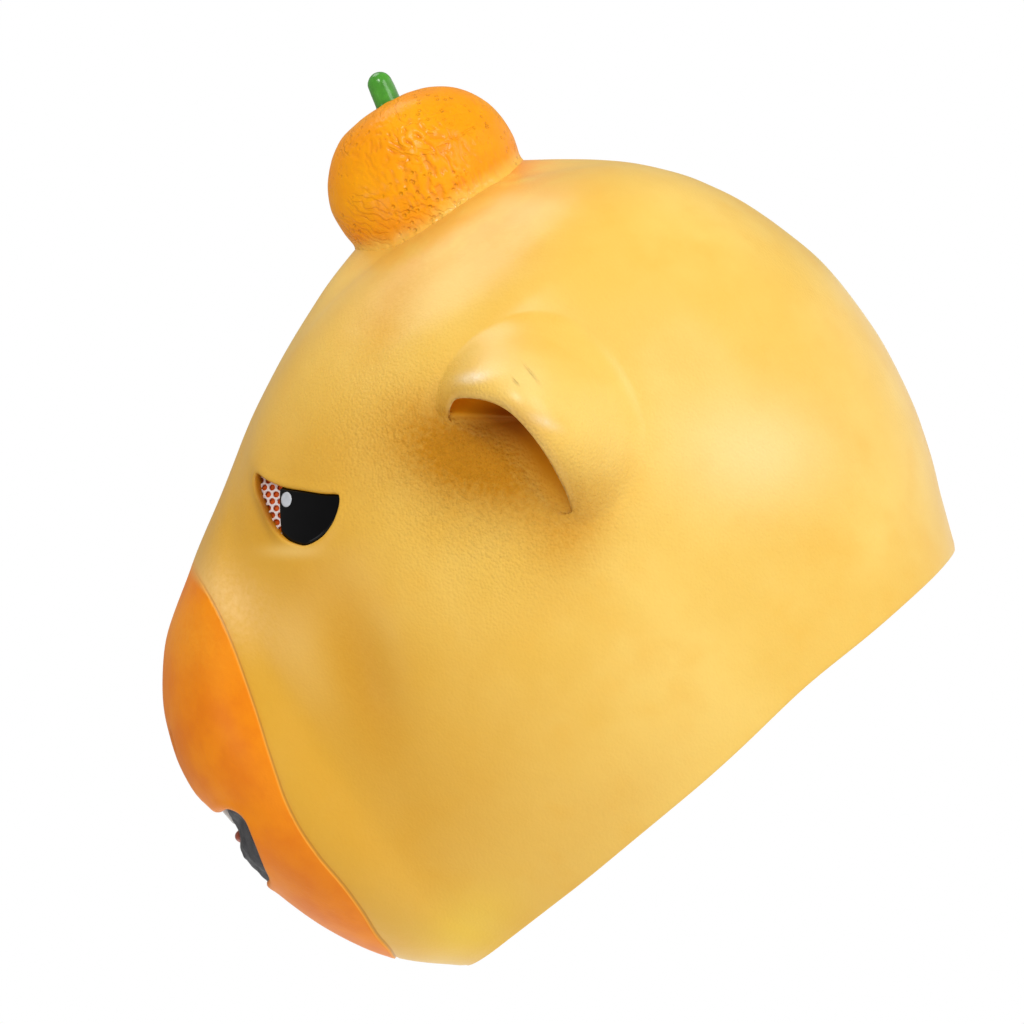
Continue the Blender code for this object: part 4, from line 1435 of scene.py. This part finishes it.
def tongue():
    """The small tongue in the middle of the mouth."""
    front = MOUTH.on(OUTSIDE, 0.0, 0.0042)
    front += MOUTH.out * (lip_dip(front) / 1000)
    bm = bmesh.new()
    bmesh.ops.create_uvsphere(bm, u_segments=48, v_segments=24, radius=1)
    place = Matrix.Translation(front + Vector((0, 0.0034, 0.0)))
    bm.transform(place @ Matrix.Diagonal((0.010, 0.0030, 0.0028, 1)))
    for vertex in bm.verts:
        vertex.co.z -= 0.0006 * bell(vertex.co.x, 0, 0.003)
    return piece("tongue_tip", bm, TONGUE_PAINT, "tongue_red", "tongue")


def tree_of(bm):
    """The tree to cast rays at a shell with."""
    tree = BVHTree.FromBMesh(bm)
    bm.free()
    return tree


OUTSIDE = tree_of(head_shell(OUTER_RINGS, 0)[0])
INSIDE = tree_of(head_shell(OUTER_RINGS, SKIN)[0])
EYE = Chart(eye_frame())
EYE_NET_LINE = eye_drawing(NET_EDGE)
MOUTH = Chart(Matrix.Translation((0, -MASK_DEPTH / 2, MOUTH_Z)) @ Matrix.Rotation(math.pi / 2, 4, "X"))
MOUTH_LINE = mouth_line()

SKIN_PAINT = skin_paint()
MANDARIN_PAINT = mandarin_paint()
STALK_PAINT = plain_paint("stalk_green_gloss", (0.075, 0.37, 0.028), 0.20, 0.7, 0.00008, 160)
EYE_PAINT = plain_paint(
    "eye_black_gloss", (0.0015, 0.0015, 0.002), 0.09, 0.6, 0.00003, 90, Specular_IOR_Level=0.16
)
GLINT_PAINT = plain_paint("glint_white_gloss", (0.58, 0.60, 0.64), 0.12, 0.85, 0.00002, 300)
NET_PAINT = plain_paint("net_white_plastic", (0.87, 0.74, 0.72), 0.45, 0.86, 0.0001, 900)
BACKING_PAINT = plain_paint(
    "gauze_orange_red", (0.80, 0.115, 0.010), 0.75, 0.75, 0.0002, 700, Specular_IOR_Level=0.2
)
LINING_PAINT = plain_paint("lining_dark_matte", (0.055, 0.056, 0.062), 0.62, 0.5, 0.0004, 240)
TOOTH_PAINT = plain_paint("tooth_white_gloss", (0.78, 0.77, 0.74), 0.22, 0.9, 0.0001, 200)
TONGUE_PAINT = plain_paint("tongue_red_matte", (0.46, 0.085, 0.032), 0.45, 0.7, 0.0002, 400)

head_skin()
mandarin()
stalk()
on_both_sides(black_eye, EYE_PAINT, "eye_black", "eye_dome", "eye")
for side in ("left", "right"):
    bpy.data.objects["eye_dome_" + side].data.materials.append(GLINT_PAINT.material)
on_both_sides(eye_net, NET_PAINT, "net_white", "eye_openwork", "eye_net")
on_both_sides(eye_backing, BACKING_PAINT, "backing_orange", "eye_gauze", "eye_backing")
mouth_lining()
on_both_sides(tooth, TOOTH_PAINT, "tooth_white", "incisor", "tooth")
tongue()


def floor():
    """A wide pale floor."""
    mesh = bpy.data.meshes.new("floor")
    bm = bmesh.new()
    bmesh.ops.create_circle(bm, cap_ends=True, segments=64, radius=12)
    bm.to_mesh(mesh)
    bm.free()
    obj = bpy.data.objects.new("floor", mesh)
    bpy.context.scene.collection.objects.link(obj)
    pale = Paint("floor_pale", 1.0, Specular_IOR_Level=0.0, Emission_Strength=1.0)
    pale.set("Base Color", (0.0, 0.0, 0.0, 1))
    pale.set("Emission Color", (1.0, 1.0, 1.0, 1))
    mesh.materials.append(pale.material)


def studio():
    """White surroundings whose light on the mask is softer than they look."""
    world = bpy.data.worlds.new("studio")
    world.use_nodes = True
    tree = world.node_tree
    seen = tree.nodes["Background"]
    seen.inputs["Color"].default_value = (1, 1, 1, 1)
    seen.inputs["Strength"].default_value = 1.0
    light = tree.nodes.new("ShaderNodeBackground")
    light.inputs["Color"].default_value = (1, 0.98, 0.95, 1)
    light.inputs["Strength"].default_value = 0.38
    path = tree.nodes.new("ShaderNodeLightPath")
    choice = tree.nodes.new("ShaderNodeMixShader")
    tree.links.new(path.outputs["Is Camera Ray"], choice.inputs[0])
    tree.links.new(light.outputs[0], choice.inputs[1])
    tree.links.new(seen.outputs[0], choice.inputs[2])
    tree.links.new(choice.outputs[0], tree.nodes["World Output"].inputs["Surface"])
    bpy.context.scene.world = world


def softbox(name, toward, distance, size, watts):
    """A square soft light looking at the mask's middle."""
    light = bpy.data.lights.new(name, "AREA")
    light.size = size
    light.energy = watts
    obj = bpy.data.objects.new(name, light)
    bpy.context.scene.collection.objects.link(obj)
    direction = Vector(toward).normalized()
    obj.location = Vector((0, 0.01, 0.15)) + direction * distance
    obj.rotation_euler = direction.to_track_quat("Z", "Y").to_euler()


floor()
studio()
# The picture's right is (0, 0.76, -0.65) and its up is (0, 0.65, 0.76)
softbox("key", (0.75, 0.25, 0.62), 1.5, 0.4, 7.7)
softbox("side", (0.66, 0.74, 0.05), 1.6, 0.8, 7.5)
softbox("front", (0.47, -0.82, 0.28), 1.6, 0.5, 2.2)
softbox("top", (-0.30, 0.28, 0.92), 1.6, 0.8, 6.2)
bpy.context.scene.view_settings.view_transform = "Standard"

lens = bpy.data.cameras.new("camera")
lens.lens = 175.8
lens.sensor_width = 36
lens.clip_end = 100
camera = bpy.data.objects.new("camera", lens)
bpy.context.scene.collection.objects.link(camera)
camera.matrix_world = Matrix(
    (
        (0, 0, 1, 2.2),
        (0.7604, 0.6494, 0, 0.0069),
        (-0.6494, 0.7604, 0, 0.1387),
        (0, 0, 0, 1),
    )
)
bpy.context.scene.camera = camera
